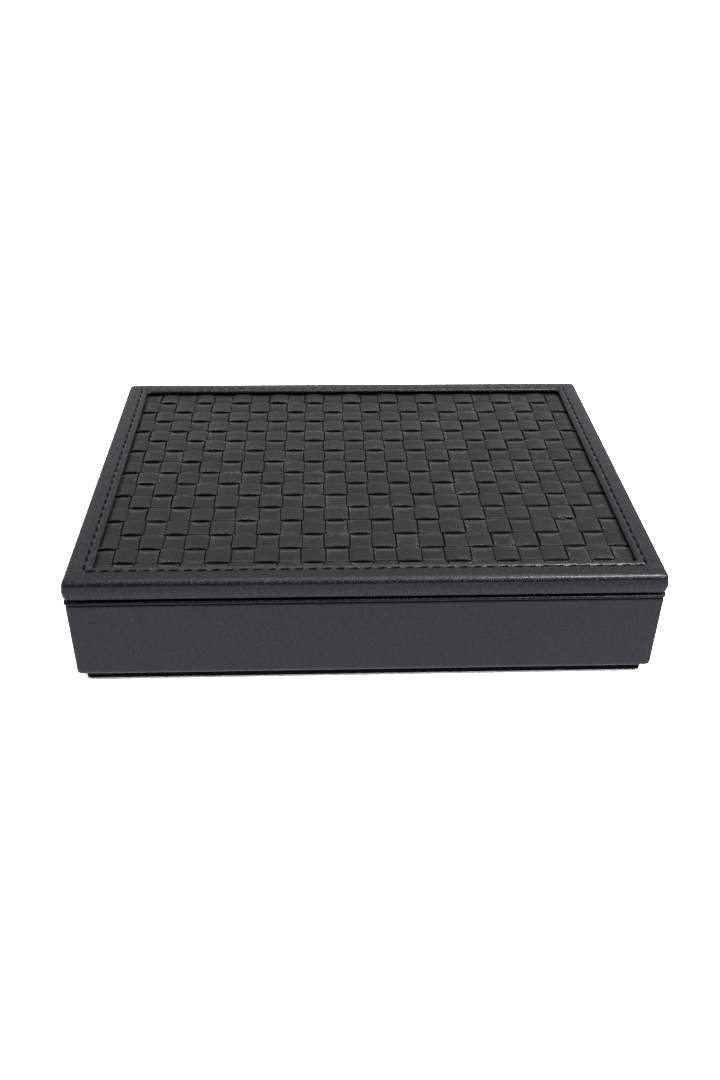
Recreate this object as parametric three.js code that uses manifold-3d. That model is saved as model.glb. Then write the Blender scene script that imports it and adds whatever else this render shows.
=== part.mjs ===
// A hinged leather box with a woven leather panel let into its lid.
// Millimetres, +Z up. The origin is the middle of the underside, and the front faces -Y.
import * as THREE from "three";
import { mergeVertices } from "three/addons/utils/BufferGeometryUtils.js";
import Module from "manifold-3d";

const wasm = await Module();
wasm.setup();

// Lid
const LID_WIDTH = 305;
const LID_DEPTH = 228.6;
const LID_THICKNESS = 11.2;
const LID_CORNER = 2.6; // radius of the corners, seen from above
const LID_EDGE = 1.5; // radius where the leather turns over the lid's edges
const LID_OVERHANG = 0.7; // how far the lid stands past the body on every side
const PARTING_GAP = 1; // between the closed lid and the rim

// Border of the lid, from the lid's edge to the opening over the woven panel
const BORDER_SIDE = 14.1;
const BORDER_BACK = 14.3;
const BORDER_FRONT = 13.9;
const OPENING_BACK_CORNER = 2.8;
const OPENING_FRONT_CORNER = 0.9;
const BORDER_CLEARANCE = 0.4; // between the border's leather and the strips that run under it

// Woven panel
const WARP_COUNT = 23; // strips that run from back to front
const WEFT_ROWS_SHOWN = 15; // whole strips that run from side to side
const STRIP_THICKNESS = 1;
const STRIP_LAYER_GAP = 0.1; // between two strips that cross
const WARP_SPACE = 0.63; // between neighbouring warp strips
const WEFT_SPACE = 0.8; // between neighbouring weft strips
const OUTER_WARP_COVERED = 2.4; // how much of the outermost warp strips the border covers
const LAST_WEFT_SHOWS = 5.8; // how much of the trimmed front strip lies inside the opening
const PANEL_TUCK = 6.5; // how far the panel runs under the border

// Body
const BODY_HEIGHT = 47.5; // from the leather's lower edge to the top of the rim
const BODY_CORNER = 2;
const BODY_EDGE = 1.1; // radius of the leather at the body's lower edge
const LEATHER = 1.2;
const WALL_BOARD = 6;
const BASE_BOARD = 4;
const BODY_TURN_IN = 14; // width of the leather turned under the base
const RIM_STRIP = 1.6; // thickness of the strip on top of the walls
const RIM_PROUD = 0.5; // how far the strip stands out past the body
const PAD_THICKNESS = 5.2;
const PAD_INSET = 3.7;
const GLUE = 0.1; // between bonded faces

// Lining
const WALL_LINING = 1;
const FLOOR_LINING = 1.6;
const LID_REST = 0.2; // between the top of the wall lining, where the lid rests, and the lid
const LID_PLUG = 1.3; // how far the lid's lining reaches down into the cavity
const PLUG_CLEARANCE = 1.5; // between that lining and the cavity's walls
const LINING_FIT = 0.3; // between that lining and the leather round it

// Hinges, with heels behind the knuckles that meet and stop the lid
const OPEN_ANGLE = THREE.MathUtils.degToRad(95);
const STOP_SLACK = THREE.MathUtils.degToRad(0.6); // left between the heels at that angle
const HINGE_WIDTH = 30;
const HINGE_FROM_SIDE = 42; // from the lid's side to the hinge's near end
const LEAF_THICKNESS = 1.2;
const LEAF_LAND = 1.5; // board left in front of the leaf's end
const LEAF_FIT = 0.3; // round a leaf in its pocket
const KNUCKLE_RADIUS = 1.9;
const KNUCKLE_GAP = 0.3; // along the pin, between two knuckles
const HEEL_GAP = 0.2; // between a knuckle and the other leaf's heel
const HEEL_THICKNESS = 0.8;
const HEEL_CLEARANCE = 0.3; // between the heels and the lid's back
const PIN_RADIUS = 0.8;
const PIN_CLEARANCE = 0.25;

const OVERRUN = 2; // how far a cutter passes through what it cuts
// Facets of the round forms: steps round an edge, and curve divisions of a corner and of a knuckle
const EDGE_STEPS = 3;
const CORNER_STEPS = 2;
const KNUCKLE_STEPS = 4;

const leather = new THREE.MeshStandardMaterial({ color: 0x2b2b2d, roughness: 0.48, metalness: 0 });
const stripLeather = new THREE.MeshStandardMaterial({ color: 0x2d2c2b, roughness: 0.55, metalness: 0 });
const suede = new THREE.MeshStandardMaterial({ color: 0x1d1c1e, roughness: 0.95, metalness: 0 });
const padCloth = new THREE.MeshStandardMaterial({ color: 0x101011, roughness: 0.95, metalness: 0 });
const fibreboard = new THREE.MeshStandardMaterial({ color: 0xa3845c, roughness: 0.85, metalness: 0 });
const nickel = new THREE.MeshStandardMaterial({ color: 0xb9b7b2, roughness: 0.3, metalness: 1 });

const box = new THREE.Group();

function add(name, geometry, material) {
  const mesh = new THREE.Mesh(geometry, material);
  mesh.name = name;
  box.add(mesh);
}

// Solids for cutting and joining

function solidOf(geometry) {
  const bare = geometry.clone();
  bare.deleteAttribute("normal");
  bare.deleteAttribute("uv");
  const merged = mergeVertices(bare);
  const mesh = new wasm.Mesh({
    numProp: 3,
    vertProperties: new Float32Array(merged.attributes.position.array),
    triVerts: new Uint32Array(merged.index.array),
  });
  return new wasm.Manifold(mesh);
}

function geometryOf(solid) {
  const mesh = solid.getMesh();
  const geometry = new THREE.BufferGeometry();
  geometry.setAttribute("position", new THREE.BufferAttribute(mesh.vertProperties, 3));
  geometry.setIndex(new THREE.BufferAttribute(mesh.triVerts, 1));
  geometry.computeVertexNormals();
  return geometry;
}

function cut(geometry, ...cutters) {
  let solid = solidOf(geometry);
  for (const cutter of cutters) {
    solid = solid.subtract(solidOf(cutter));
  }
  return geometryOf(solid);
}

function join(geometry, ...others) {
  let solid = solidOf(geometry);
  for (const other of others) {
    solid = solid.add(solidOf(other));
  }
  return geometryOf(solid);
}

// Plan outlines, as the places of a rectangle's four sides

function rectangle(width, depth) {
  return { left: -width / 2, right: width / 2, front: -depth / 2, back: depth / 2 };
}

function inset(area, distance) {
  return {
    left: area.left + distance,
    right: area.right - distance,
    front: area.front + distance,
    back: area.back - distance,
  };
}

function outline(area, frontRadius, backRadius = frontRadius) {
  const quarter = Math.PI / 2;
  const { left, right, front, back } = area;
  const shape = new THREE.Shape();
  shape.moveTo(left + frontRadius, front);
  shape.lineTo(right - frontRadius, front);
  shape.absarc(right - frontRadius, front + frontRadius, frontRadius, -quarter, 0);
  shape.lineTo(right, back - backRadius);
  shape.absarc(right - backRadius, back - backRadius, backRadius, 0, quarter);
  shape.lineTo(left + backRadius, back);
  shape.absarc(left + backRadius, back - backRadius, backRadius, quarter, 2 * quarter);
  shape.lineTo(left, front + frontRadius);
  shape.absarc(left + frontRadius, front + frontRadius, frontRadius, 2 * quarter, 3 * quarter);
  return shape;
}

// An upright extrusion of an outline, with its upper and lower edges rounded by edge.
function slab(shape, bottom, top, edge = 0) {
  const geometry = new THREE.ExtrudeGeometry(shape, {
    depth: top - bottom - 2 * edge,
    curveSegments: CORNER_STEPS,
    bevelEnabled: edge > 0,
    bevelThickness: edge,
    bevelSize: edge,
    bevelOffset: -edge,
    bevelSegments: EDGE_STEPS,
  });
  return geometry.translate(0, 0, bottom + edge);
}

function block(area, bottom, top) {
  const width = area.right - area.left;
  const depth = area.back - area.front;
  const geometry = new THREE.BoxGeometry(width, depth, top - bottom);
  return geometry.translate((area.left + area.right) / 2, (area.front + area.back) / 2, (bottom + top) / 2);
}

// Heights
const bodyBottom = PAD_THICKNESS + GLUE;
const rimTop = bodyBottom + BODY_HEIGHT;
const wallTop = rimTop - RIM_STRIP - GLUE;
const wallBottom = bodyBottom + LEATHER + GLUE;
const lidBottom = rimTop + PARTING_GAP;
const lidTop = lidBottom + LID_THICKNESS;
const liningTop = lidBottom - LID_REST;
const stripTop = lidTop - LEATHER - BORDER_CLEARANCE;
const stripBottom = stripTop - 2 * STRIP_THICKNESS - STRIP_LAYER_GAP;
const coreTop = stripBottom - GLUE;
const coreBottom = lidBottom + LEATHER + GLUE;

// Plans
const lid = rectangle(LID_WIDTH, LID_DEPTH);
const body = inset(lid, LID_OVERHANG);
const boards = inset(body, LEATHER + GLUE);
const boardsInside = inset(boards, WALL_BOARD);
const liningOutside = inset(boardsInside, GLUE);
const cavity = inset(liningOutside, WALL_LINING);
const opening = {
  left: lid.left + BORDER_SIDE,
  right: lid.right - BORDER_SIDE,
  front: lid.front + BORDER_FRONT,
  back: lid.back - BORDER_BACK,
};
const panel = inset(opening, -PANEL_TUCK);
const plug = inset(cavity, PLUG_CLEARANCE);

// Hinge places
const heelInner = KNUCKLE_RADIUS + HEEL_GAP;
const heelOuter = heelInner + HEEL_THICKNESS;
const pinY = lid.back + HEEL_CLEARANCE + heelOuter;
const pinZ = (rimTop + lidBottom) / 2;
const leafFront = boardsInside.back + LEAF_LAND;
const hingeLefts = {
  left: lid.left + HINGE_FROM_SIDE,
  right: lid.right - HINGE_FROM_SIDE - HINGE_WIDTH,
};

function hingePockets() {
  return Object.values(hingeLefts).map((left) => {
    const area = {
      left: left - LEAF_FIT,
      right: left + HINGE_WIDTH + LEAF_FIT,
      front: leafFront - LEAF_FIT,
      back: lid.back + OVERRUN,
    };
    return block(area, rimTop - LEAF_THICKNESS - LEAF_FIT, lidBottom + LEAF_THICKNESS + LEAF_FIT);
  });
}

// Body of the box

function corners({ left, right, front, back }) {
  return [[left, front], [right, front], [right, back], [left, back]];
}

// Each board runs from one corner to the next and is mitred at both ends. The glue in the mitres comes
// off the front and back boards.
function wallBoards() {
  const outer = corners(boards);
  const inner = corners(boardsInside);
  ["front", "right", "back", "left"].forEach((side, index) => {
    const next = (index + 1) % outer.length;
    const glue = index % 2 === 0 ? GLUE : 0;
    const points = [outer[index], outer[next], inner[next], inner[index]];
    const shape = new THREE.Shape(points.map(([x, y]) => new THREE.Vector2(x - Math.sign(x) * glue, y)));
    const wall = slab(shape, wallBottom, wallTop);
    add(`${side}_wall_board`, side === "back" ? cut(wall, ...hingePockets()) : wall, fibreboard);
  });
}

function bodyBase() {
  add("base_felt_pad", block(inset(body, PAD_INSET), 0, PAD_THICKNESS), padCloth);
  const boardTop = wallBottom + BASE_BOARD;
  add("base_board", block(inset(boardsInside, GLUE), wallBottom, boardTop), fibreboard);
  const floorBottom = boardTop + GLUE;
  const floorTop = floorBottom + FLOOR_LINING;
  add("floor_lining_pad", block(liningOutside, floorBottom, floorTop), suede);
  const liningRing = cut(
    block(liningOutside, floorTop + GLUE, liningTop),
    block(cavity, floorTop - OVERRUN, liningTop + OVERRUN),
  );
  add("wall_lining", liningRing, suede);
}

function bodyLeather() {
  const aboveWalls = block(inset(body, -OVERRUN), wallTop, wallTop + OVERRUN + BODY_EDGE);
  const wrap = cut(
    slab(outline(body, BODY_CORNER), bodyBottom, wallTop + BODY_EDGE, BODY_EDGE),
    aboveWalls,
    block(inset(body, LEATHER), bodyBottom + LEATHER, wallTop + OVERRUN),
    block(inset(body, BODY_TURN_IN), bodyBottom - OVERRUN, wallTop),
    ...hingePockets(),
  );
  add("body_leather_wrap", wrap, leather);
  const rimArea = inset(body, -RIM_PROUD);
  const rim = cut(
    slab(outline(rimArea, BODY_CORNER + RIM_PROUD), wallTop + GLUE, rimTop),
    block(boardsInside, wallTop - OVERRUN, rimTop + OVERRUN),
    ...hingePockets(),
  );
  add("rim_leather_strip", rim, leather);
}

// Lid

function lidBoards() {
  const coreArea = inset(lid, LEATHER + GLUE);
  add("lid_core_board", cut(block(coreArea, coreBottom, coreTop), ...hingePockets()), fibreboard);
  const fillerBottom = coreTop + GLUE;
  const fillerTop = lidTop - LEATHER - GLUE;
  const filler = cut(
    block(coreArea, fillerBottom, fillerTop),
    block(inset(panel, -LINING_FIT), fillerBottom - OVERRUN, fillerTop + OVERRUN),
  );
  add("lid_edge_filler", filler, fibreboard);
  const panelTop = coreBottom - GLUE;
  add("lid_lining_panel", block(plug, lidBottom - LID_PLUG, panelTop), suede);
}

function lidLeather() {
  const border = cut(
    slab(outline(lid, LID_CORNER), lidBottom, lidTop, LID_EDGE),
    block(inset(lid, LEATHER), lidBottom + LEATHER, lidTop - LEATHER),
    slab(outline(opening, OPENING_FRONT_CORNER, OPENING_BACK_CORNER), coreTop, lidTop + OVERRUN),
    block(inset(plug, -LINING_FIT), lidBottom - OVERRUN, coreBottom),
    ...hingePockets(),
  );
  add("lid_border_leather", border, leather);
}

// Woven panel

// The side view of a strip that runs from start to end. Over each crossing it lies flat on its level,
// and it climbs or drops between two of them. Past the last crossing it comes down to the board.
function stripProfile(start, end, crossings, space) {
  const low = stripBottom;
  const high = stripBottom + STRIP_THICKNESS + STRIP_LAYER_GAP;
  const first = crossings[0];
  const last = crossings[crossings.length - 1];
  const line = [];
  if (start < first.from - space) {
    line.push([start, low], [first.from - space, low]);
  }
  for (const crossing of crossings) {
    const level = crossing.over ? high : low;
    line.push([crossing.from, level], [crossing.to, level]);
  }
  if (end > last.to + space) {
    line.push([last.to + space, low], [end, low]);
  }
  const shape = new THREE.Shape();
  shape.moveTo(...line[0]);
  for (const [along, level] of line.slice(1)) {
    shape.lineTo(along, level);
  }
  for (const [along, level] of line.toReversed()) {
    shape.lineTo(along, level + STRIP_THICKNESS);
  }
  return shape;
}

function wovenPanel() {
  const across = opening.right - opening.left + 2 * OUTER_WARP_COVERED;
  const warpPitch = across / WARP_COUNT;
  const weftPitch = (opening.back - opening.front - LAST_WEFT_SHOWS) / WEFT_ROWS_SHOWN;
  const warps = [];
  for (let column = 0; column < WARP_COUNT; column += 1) {
    const left = opening.left - OUTER_WARP_COVERED + column * warpPitch;
    warps.push({ from: left + WARP_SPACE / 2, to: left + warpPitch - WARP_SPACE / 2 });
  }
  // Weft strips are counted from the back. The last one is trimmed at the panel's front edge.
  const wefts = [];
  for (let row = 0; row <= WEFT_ROWS_SHOWN; row += 1) {
    const back = opening.back - row * weftPitch;
    const from = Math.max(back - weftPitch + WEFT_SPACE / 2, panel.front);
    wefts.push({ from, to: back - WEFT_SPACE / 2 });
  }
  const x = new THREE.Vector3(1, 0, 0);
  const y = new THREE.Vector3(0, 1, 0);
  const z = new THREE.Vector3(0, 0, 1);
  const label = (index) => String(index + 1).padStart(2, "0");
  warps.forEach((warp, column) => {
    const crossings = wefts.map(({ from, to }, row) => ({ from, to, over: (row + column) % 2 === 0 }));
    const profile = stripProfile(panel.front, panel.back, crossings.toReversed(), WEFT_SPACE);
    const depth = warp.to - warp.from;
    const strip = new THREE.ExtrudeGeometry(profile, { depth, bevelEnabled: false });
    strip.applyMatrix4(new THREE.Matrix4().makeBasis(y, z, x));
    add(`warp_strip_${label(column)}`, strip.translate(warp.from, 0, 0), stripLeather);
  });
  wefts.forEach((weft, row) => {
    const crossings = warps.map(({ from, to }, column) => ({ from, to, over: (row + column) % 2 === 1 }));
    const profile = stripProfile(panel.left, panel.right, crossings, WARP_SPACE);
    const depth = weft.to - weft.from;
    const strip = new THREE.ExtrudeGeometry(profile, { depth, bevelEnabled: false });
    strip.applyMatrix4(new THREE.Matrix4().makeBasis(x, z, y.clone().negate()));
    add(`weft_strip_${label(row)}`, strip.translate(0, weft.to, 0), stripLeather);
  });
}

// Hinges

// The side view of the body's leaf about the pin, front to the left. With a knuckle it closes round the
// pin; without, it keeps clear of the other leaf's knuckle. Its heel ends where it stops the lid.
function leafProfile(withKnuckle) {
  const plateTop = -PARTING_GAP / 2;
  const plateBottom = plateTop - LEAF_THICKNESS;
  const plateEnd = leafFront - pinY;
  const heelFace = -(OPEN_ANGLE + STOP_SLACK) / 2;
  const bowl = withKnuckle ? KNUCKLE_RADIUS : heelInner;
  const outerStart = -Math.PI - Math.asin(plateBottom / heelOuter);
  const bowlEnd = -Math.PI - Math.asin(plateTop / bowl);
  const shape = new THREE.Shape();
  shape.moveTo(plateEnd, plateBottom);
  shape.lineTo(-Math.sqrt(heelOuter ** 2 - plateBottom ** 2), plateBottom);
  shape.absarc(0, 0, heelOuter, outerStart, heelFace, false);
  shape.lineTo(bowl * Math.cos(heelFace), bowl * Math.sin(heelFace));
  if (withKnuckle) {
    shape.absarc(0, 0, bowl, heelFace, 2 * Math.PI + bowlEnd, false);
    const bore = new THREE.Path();
    bore.absarc(0, 0, PIN_RADIUS + PIN_CLEARANCE, 0, 2 * Math.PI);
    shape.holes.push(bore);
  } else {
    shape.absarc(0, 0, bowl, heelFace, bowlEnd, true);
  }
  shape.lineTo(plateEnd, plateTop);
  return shape;
}

function alongPin(shape, from, to) {
  const knuckle = new THREE.ExtrudeGeometry(shape, {
    depth: to - from,
    curveSegments: KNUCKLE_STEPS,
    bevelEnabled: false,
  });
  const x = new THREE.Vector3(1, 0, 0);
  const y = new THREE.Vector3(0, 1, 0);
  const z = new THREE.Vector3(0, 0, 1);
  knuckle.applyMatrix4(new THREE.Matrix4().makeBasis(y, z, x));
  return knuckle.translate(from, 0, 0);
}

function hinge(side, left) {
  const knuckle = (HINGE_WIDTH - 2 * KNUCKLE_GAP) / 3;
  const starts = [0, 1, 2].map((index) => left + index * (knuckle + KNUCKLE_GAP));
  const plate = alongPin(leafProfile(false), left, left + HINGE_WIDTH);
  const knuckles = starts.map((start) => alongPin(leafProfile(true), start, start + knuckle));
  const bodyLeaf = join(plate, knuckles[0], knuckles[2]);
  add(`hinge_body_leaf_${side}`, bodyLeaf.translate(0, pinY, pinZ), nickel);
  // Half a turn about the pin's cross line gives the lid's leaf, plate up and heel above.
  const lidLeaf = join(plate, knuckles[1]);
  const middle = left + HINGE_WIDTH / 2;
  lidLeaf.translate(-middle, 0, 0);
  lidLeaf.rotateY(Math.PI);
  lidLeaf.translate(middle, pinY, pinZ);
  add(`hinge_lid_leaf_${side}`, lidLeaf, nickel);
  const pin = new THREE.CylinderGeometry(PIN_RADIUS, PIN_RADIUS, HINGE_WIDTH, 3 * KNUCKLE_STEPS);
  pin.rotateZ(Math.PI / 2);
  add(`hinge_pin_${side}`, pin.translate(middle, pinY, pinZ), nickel);
}

bodyBase();
wallBoards();
bodyLeather();
lidBoards();
lidLeather();
wovenPanel();
for (const [side, left] of Object.entries(hingeLefts)) {
  hinge(side, left);
}

export default box;
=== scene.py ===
"""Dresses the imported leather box: leather skins, woven panel, seam, lining, hinges, studio and camera.

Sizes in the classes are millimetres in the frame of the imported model. Meshes are made in metres.
"""

import logging
import math
from collections.abc import Callable, Iterable, Sequence
from dataclasses import astuple, dataclass, field
from enum import Enum

import bmesh
import bpy
import numpy as np
from mathutils import Matrix, Vector


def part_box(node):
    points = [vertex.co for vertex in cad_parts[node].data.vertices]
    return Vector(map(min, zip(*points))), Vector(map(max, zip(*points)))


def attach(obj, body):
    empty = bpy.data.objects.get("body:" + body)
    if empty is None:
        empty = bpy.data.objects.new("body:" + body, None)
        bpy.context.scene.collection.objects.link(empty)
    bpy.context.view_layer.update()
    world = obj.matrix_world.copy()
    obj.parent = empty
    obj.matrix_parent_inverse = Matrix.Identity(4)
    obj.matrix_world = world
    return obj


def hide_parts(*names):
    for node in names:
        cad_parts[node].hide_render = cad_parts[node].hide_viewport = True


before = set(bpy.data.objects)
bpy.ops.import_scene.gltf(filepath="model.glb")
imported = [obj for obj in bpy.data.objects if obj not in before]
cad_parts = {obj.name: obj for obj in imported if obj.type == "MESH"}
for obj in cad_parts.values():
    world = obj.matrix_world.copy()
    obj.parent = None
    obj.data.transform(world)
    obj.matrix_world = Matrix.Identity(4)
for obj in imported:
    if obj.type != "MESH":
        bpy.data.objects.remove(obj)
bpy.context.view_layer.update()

MM = 0.001
BORDER_SIDE, BORDER_FRONT, BORDER_BACK = 14.1, 13.9, 12.4  # from the lid's edge to the opening
LOG = logging.getLogger("leather_box")
Array = np.ndarray
HeightField = Callable[[Array, Array], Array]
Piece = bpy.types.Object
Socket = bpy.types.NodeSocket
Material = bpy.types.Material


class Body(Enum):
    """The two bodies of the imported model."""

    BOX = "box"
    LID = "lid"


class Slot(Enum):
    """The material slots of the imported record."""

    LEATHER = "leather"
    WOVEN = "woven_leather"
    SUEDE = "suede_lining"
    FELT = "pad_felt"
    METAL = "hinge_metal"


# Plans and unevenness


@dataclass(frozen=True)
class Rect:
    """A rectangle in plan, as the places of its four sides."""

    left: float
    right: float
    front: float
    back: float

    @classmethod
    def of_node(cls, node: str) -> "Rect":
        """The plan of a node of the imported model."""
        low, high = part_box(node)
        return cls(low.x / MM, high.x / MM, low.y / MM, high.y / MM)

    def grown(self, side: float, front: float | None = None, back: float | None = None) -> "Rect":
        """Moves the sides outwards.

        Args:
            side: distance for the left and right sides, and for the others where they are not given.
            front: distance for the front side.
            back: distance for the back side.

        Returns:
            The larger rectangle.
        """
        ahead = side if front is None else front
        behind = side if back is None else back
        return Rect(self.left - side, self.right + side, self.front - ahead, self.back + behind)

    def inside(self, x: Array, y: Array) -> Array:
        """How far each place lies inside the nearest side."""
        return np.minimum.reduce([x - self.left, self.right - x, y - self.front, self.back - y])

    @property
    def width(self) -> float:
        """Distance from left to right."""
        return self.right - self.left

    @property
    def depth(self) -> float:
        """Distance from front to back."""
        return self.back - self.front


def bell(distance: Array, width: float) -> Array:
    """A bell curve: 1 at distance 0, and about a third at the width."""
    return np.exp(-((distance / width) ** 2))


def heights(node: str) -> tuple[float, float]:
    """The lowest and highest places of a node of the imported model."""
    low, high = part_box(node)
    return low.z / MM, high.z / MM


@dataclass(frozen=True)
class Wander:
    """Slow, seeded unevenness, as a sum of plane waves."""

    seed: int
    size: float
    wavelength: float
    waves: int = 6

    def at(self, x: Array, y: Array) -> Array:
        """The unevenness at some places.

        Args:
            x: first coordinate of each place.
            y: second coordinate of each place.

        Returns:
            One height for each place, mostly within plus and minus the size.
        """
        rng = np.random.default_rng(self.seed)
        total = np.zeros(np.broadcast(x, y).shape)
        for _ in range(self.waves):
            angle, phase = rng.uniform(0, 2 * math.pi, 2)
            reach = 2 * math.pi / (self.wavelength * rng.uniform(0.7, 1.6))
            total = total + np.sin(reach * (x * math.cos(angle) + y * math.sin(angle)) + phase)
        return total * self.size * math.sqrt(2 / self.waves)


@dataclass(frozen=True)
class Ring:
    """A level rounded rectangle that a skin passes through."""

    plan: Rect
    z: float
    radius: float
    back_radius: float | None = None  # where the back corners differ


@dataclass(frozen=True)
class Turn:
    """A skin's rounded edge, between a level face and an upright one."""

    plan: Rect
    corner: float
    level: float  # height of the level face
    rise: float  # from there to the end of the upright face, negative where that is lower
    reach: float  # how far in from the upright face the edge starts
    front_reach: float | None = None  # the same at the front, where it differs
    inset: float = 0  # how far the upright face lies inside the plan

    def rings(self, angles: Iterable[float]) -> list[Ring]:
        """Rings at some angles of the turn.

        Args:
            angles: where the rings lie, in degrees from the level face to the upright one.

        Returns:
            The rings, in the order of the angles.
        """
        rings = []
        front_reach = self.reach if self.front_reach is None else self.front_reach
        for turn in map(math.radians, angles):
            side, front = (self.inset + reach * (1 - math.sin(turn)) for reach in (self.reach, front_reach))
            height = self.level + self.rise * (1 - math.cos(turn))
            rings.append(Ring(self.plan.grown(-side, -front, -side), height, self.corner))
        return rings


# Work at the bench


class Bench:
    """Modelling steps that several pieces share."""

    @staticmethod
    def clear() -> None:
        """Leaves edit mode and deselects everything."""
        if bpy.context.object is not None and bpy.context.object.mode != "OBJECT":
            bpy.ops.object.mode_set(mode="OBJECT")
        bpy.ops.object.select_all(action="DESELECT")

    @staticmethod
    def named(name: str) -> Piece:
        """Names the object that was just added.

        Args:
            name: name for the object and its mesh.

        Returns:
            The object.
        """
        piece = bpy.context.object
        piece.name = piece.data.name = name
        return piece

    @staticmethod
    def edit(piece: Piece, mode: str = "VERT") -> None:
        """Opens a piece in edit mode with all of it selected.

        Args:
            piece: the piece to open.
            mode: VERT, EDGE or FACE.
        """
        Bench.only(piece)
        bpy.ops.object.mode_set(mode="EDIT")
        bpy.ops.mesh.select_mode(type=mode)
        bpy.ops.mesh.select_all(action="SELECT")

    @staticmethod
    def only(piece: Piece) -> None:
        """Makes a piece the active and only selected object.

        Args:
            piece: the piece to select.
        """
        Bench.clear()
        piece.select_set(True)
        bpy.context.view_layer.objects.active = piece

    @staticmethod
    def pick(piece: Piece, kind: str, test: Callable[[object], bool]) -> None:
        """Selects the parts of a mesh in edit mode that pass a test.

        Args:
            piece: the piece that is open in edit mode.
            kind: verts, edges or faces.
            test: called with each bmesh element.
        """
        bpy.ops.mesh.select_mode(type={"verts": "VERT", "edges": "EDGE", "faces": "FACE"}[kind])
        bpy.ops.mesh.select_all(action="DESELECT")
        mesh = bmesh.from_edit_mesh(piece.data)
        for part in [part for part in getattr(mesh, kind) if test(part)]:
            part.select_set(True)
        mesh.select_flush_mode()
        bmesh.update_edit_mesh(piece.data)

    @staticmethod
    def done() -> None:
        """Goes back to object mode."""
        bpy.ops.object.mode_set(mode="OBJECT")

    @staticmethod
    def places(piece: Piece) -> Array:
        """Where the piece's vertices are.

        Args:
            piece: the piece to measure.

        Returns:
            Millimetres, one row for each vertex.
        """
        flat = np.empty(len(piece.data.vertices) * 3)
        piece.data.vertices.foreach_get("co", flat)
        return flat.reshape(-1, 3) / MM

    @staticmethod
    def place(piece: Piece, places: Array) -> None:
        """Moves the piece's vertices."""
        piece.data.vertices.foreach_set("co", (places * MM).ravel())
        piece.data.update()

    @staticmethod
    def apply(piece: Piece, kind: str, **settings: object) -> None:
        """Adds a modifier and applies it.

        Args:
            piece: the piece that gets the modifier.
            kind: the modifier's type.
            settings: its settings by name.
        """
        Bench.only(piece)
        modifier = piece.modifiers.new(kind.title(), kind)
        for name, value in settings.items():
            setattr(modifier, name, value)
        bpy.ops.object.modifier_apply(modifier=modifier.name)

    @staticmethod
    def combine(piece: Piece, others: Iterable[Piece], operation: str) -> None:
        """Cuts other pieces out of a piece or melts them into it, and removes them.

        Args:
            piece: the piece that stays.
            others: the pieces that are used up.
            operation: DIFFERENCE or UNION.
        """
        for other in others:
            Bench.apply(piece, "BOOLEAN", object=other, operation=operation, solver="EXACT")
            bpy.data.objects.remove(other)

    @staticmethod
    def block(name: str, low: Sequence[float], high: Sequence[float]) -> Piece:
        """A plain block, used as a cutter or as the start of a piece.

        Args:
            name: the block's name.
            low: its lowest corner in millimetres.
            high: its highest corner in millimetres.

        Returns:
            The block.
        """
        Bench.clear()
        middle = [(a + b) / 2 * MM for a, b in zip(low, high)]
        bpy.ops.mesh.primitive_cube_add(size=1)
        piece = Bench.named(name)
        Bench.edit(piece)
        bpy.ops.transform.resize(value=[(b - a) * MM for a, b in zip(low, high)])
        bpy.ops.transform.translate(value=middle)
        Bench.done()
        return piece

    @staticmethod
    def joined(parts: Sequence[Piece], name: str) -> Piece:
        """Joins parts into one piece, with the first part's mesh at its head.

        Args:
            parts: the parts, which are used up.
            name: the piece's name.

        Returns:
            The piece.
        """
        Bench.clear()
        for part in parts:
            part.select_set(True)
        bpy.context.view_layer.objects.active = parts[0]
        bpy.ops.object.join()
        return Bench.named(name)

    @staticmethod
    def face_outwards() -> None:
        """Turns every face of the piece in edit mode outwards."""
        bpy.ops.mesh.select_all(action="SELECT")
        bpy.ops.mesh.normals_make_consistent(inside=False)

    @staticmethod
    def shift(piece: Piece, x: float, y: float, z: float) -> None:
        """Moves a piece's mesh by millimetres."""
        piece.data.transform(Matrix.Translation(Vector((x, y, z)) * MM))

    @staticmethod
    def smooth(piece: Piece, degrees: float = 40) -> None:
        """Shades a piece smooth, apart from the edges sharper than an angle."""
        Bench.only(piece)
        bpy.ops.object.shade_smooth_by_angle(angle=math.radians(degrees))

    @staticmethod
    def attribute(piece: Piece, name: str, values: Array) -> None:
        """Stores one number for each vertex, which a material can read."""
        layer = piece.data.attributes.new(name, "FLOAT", "POINT")
        layer.data.foreach_set("value", np.asarray(values, np.float32))

    @staticmethod
    def hand_over(
        piece: Piece,
        body: Body,
        slot: Slot,
        finish: Material,
        nodes: Sequence[str] = (),
    ) -> None:
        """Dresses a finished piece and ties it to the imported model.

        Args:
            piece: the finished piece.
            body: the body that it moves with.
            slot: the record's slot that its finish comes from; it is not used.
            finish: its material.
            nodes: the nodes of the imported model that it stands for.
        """
        piece.data.materials.clear()
        piece.data.materials.append(finish)
        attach(piece, body.value)
        if nodes:
            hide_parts(*nodes)
        LOG.info("%s: %d faces, rides on %s", piece.name, len(piece.data.polygons), body.value)


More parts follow.
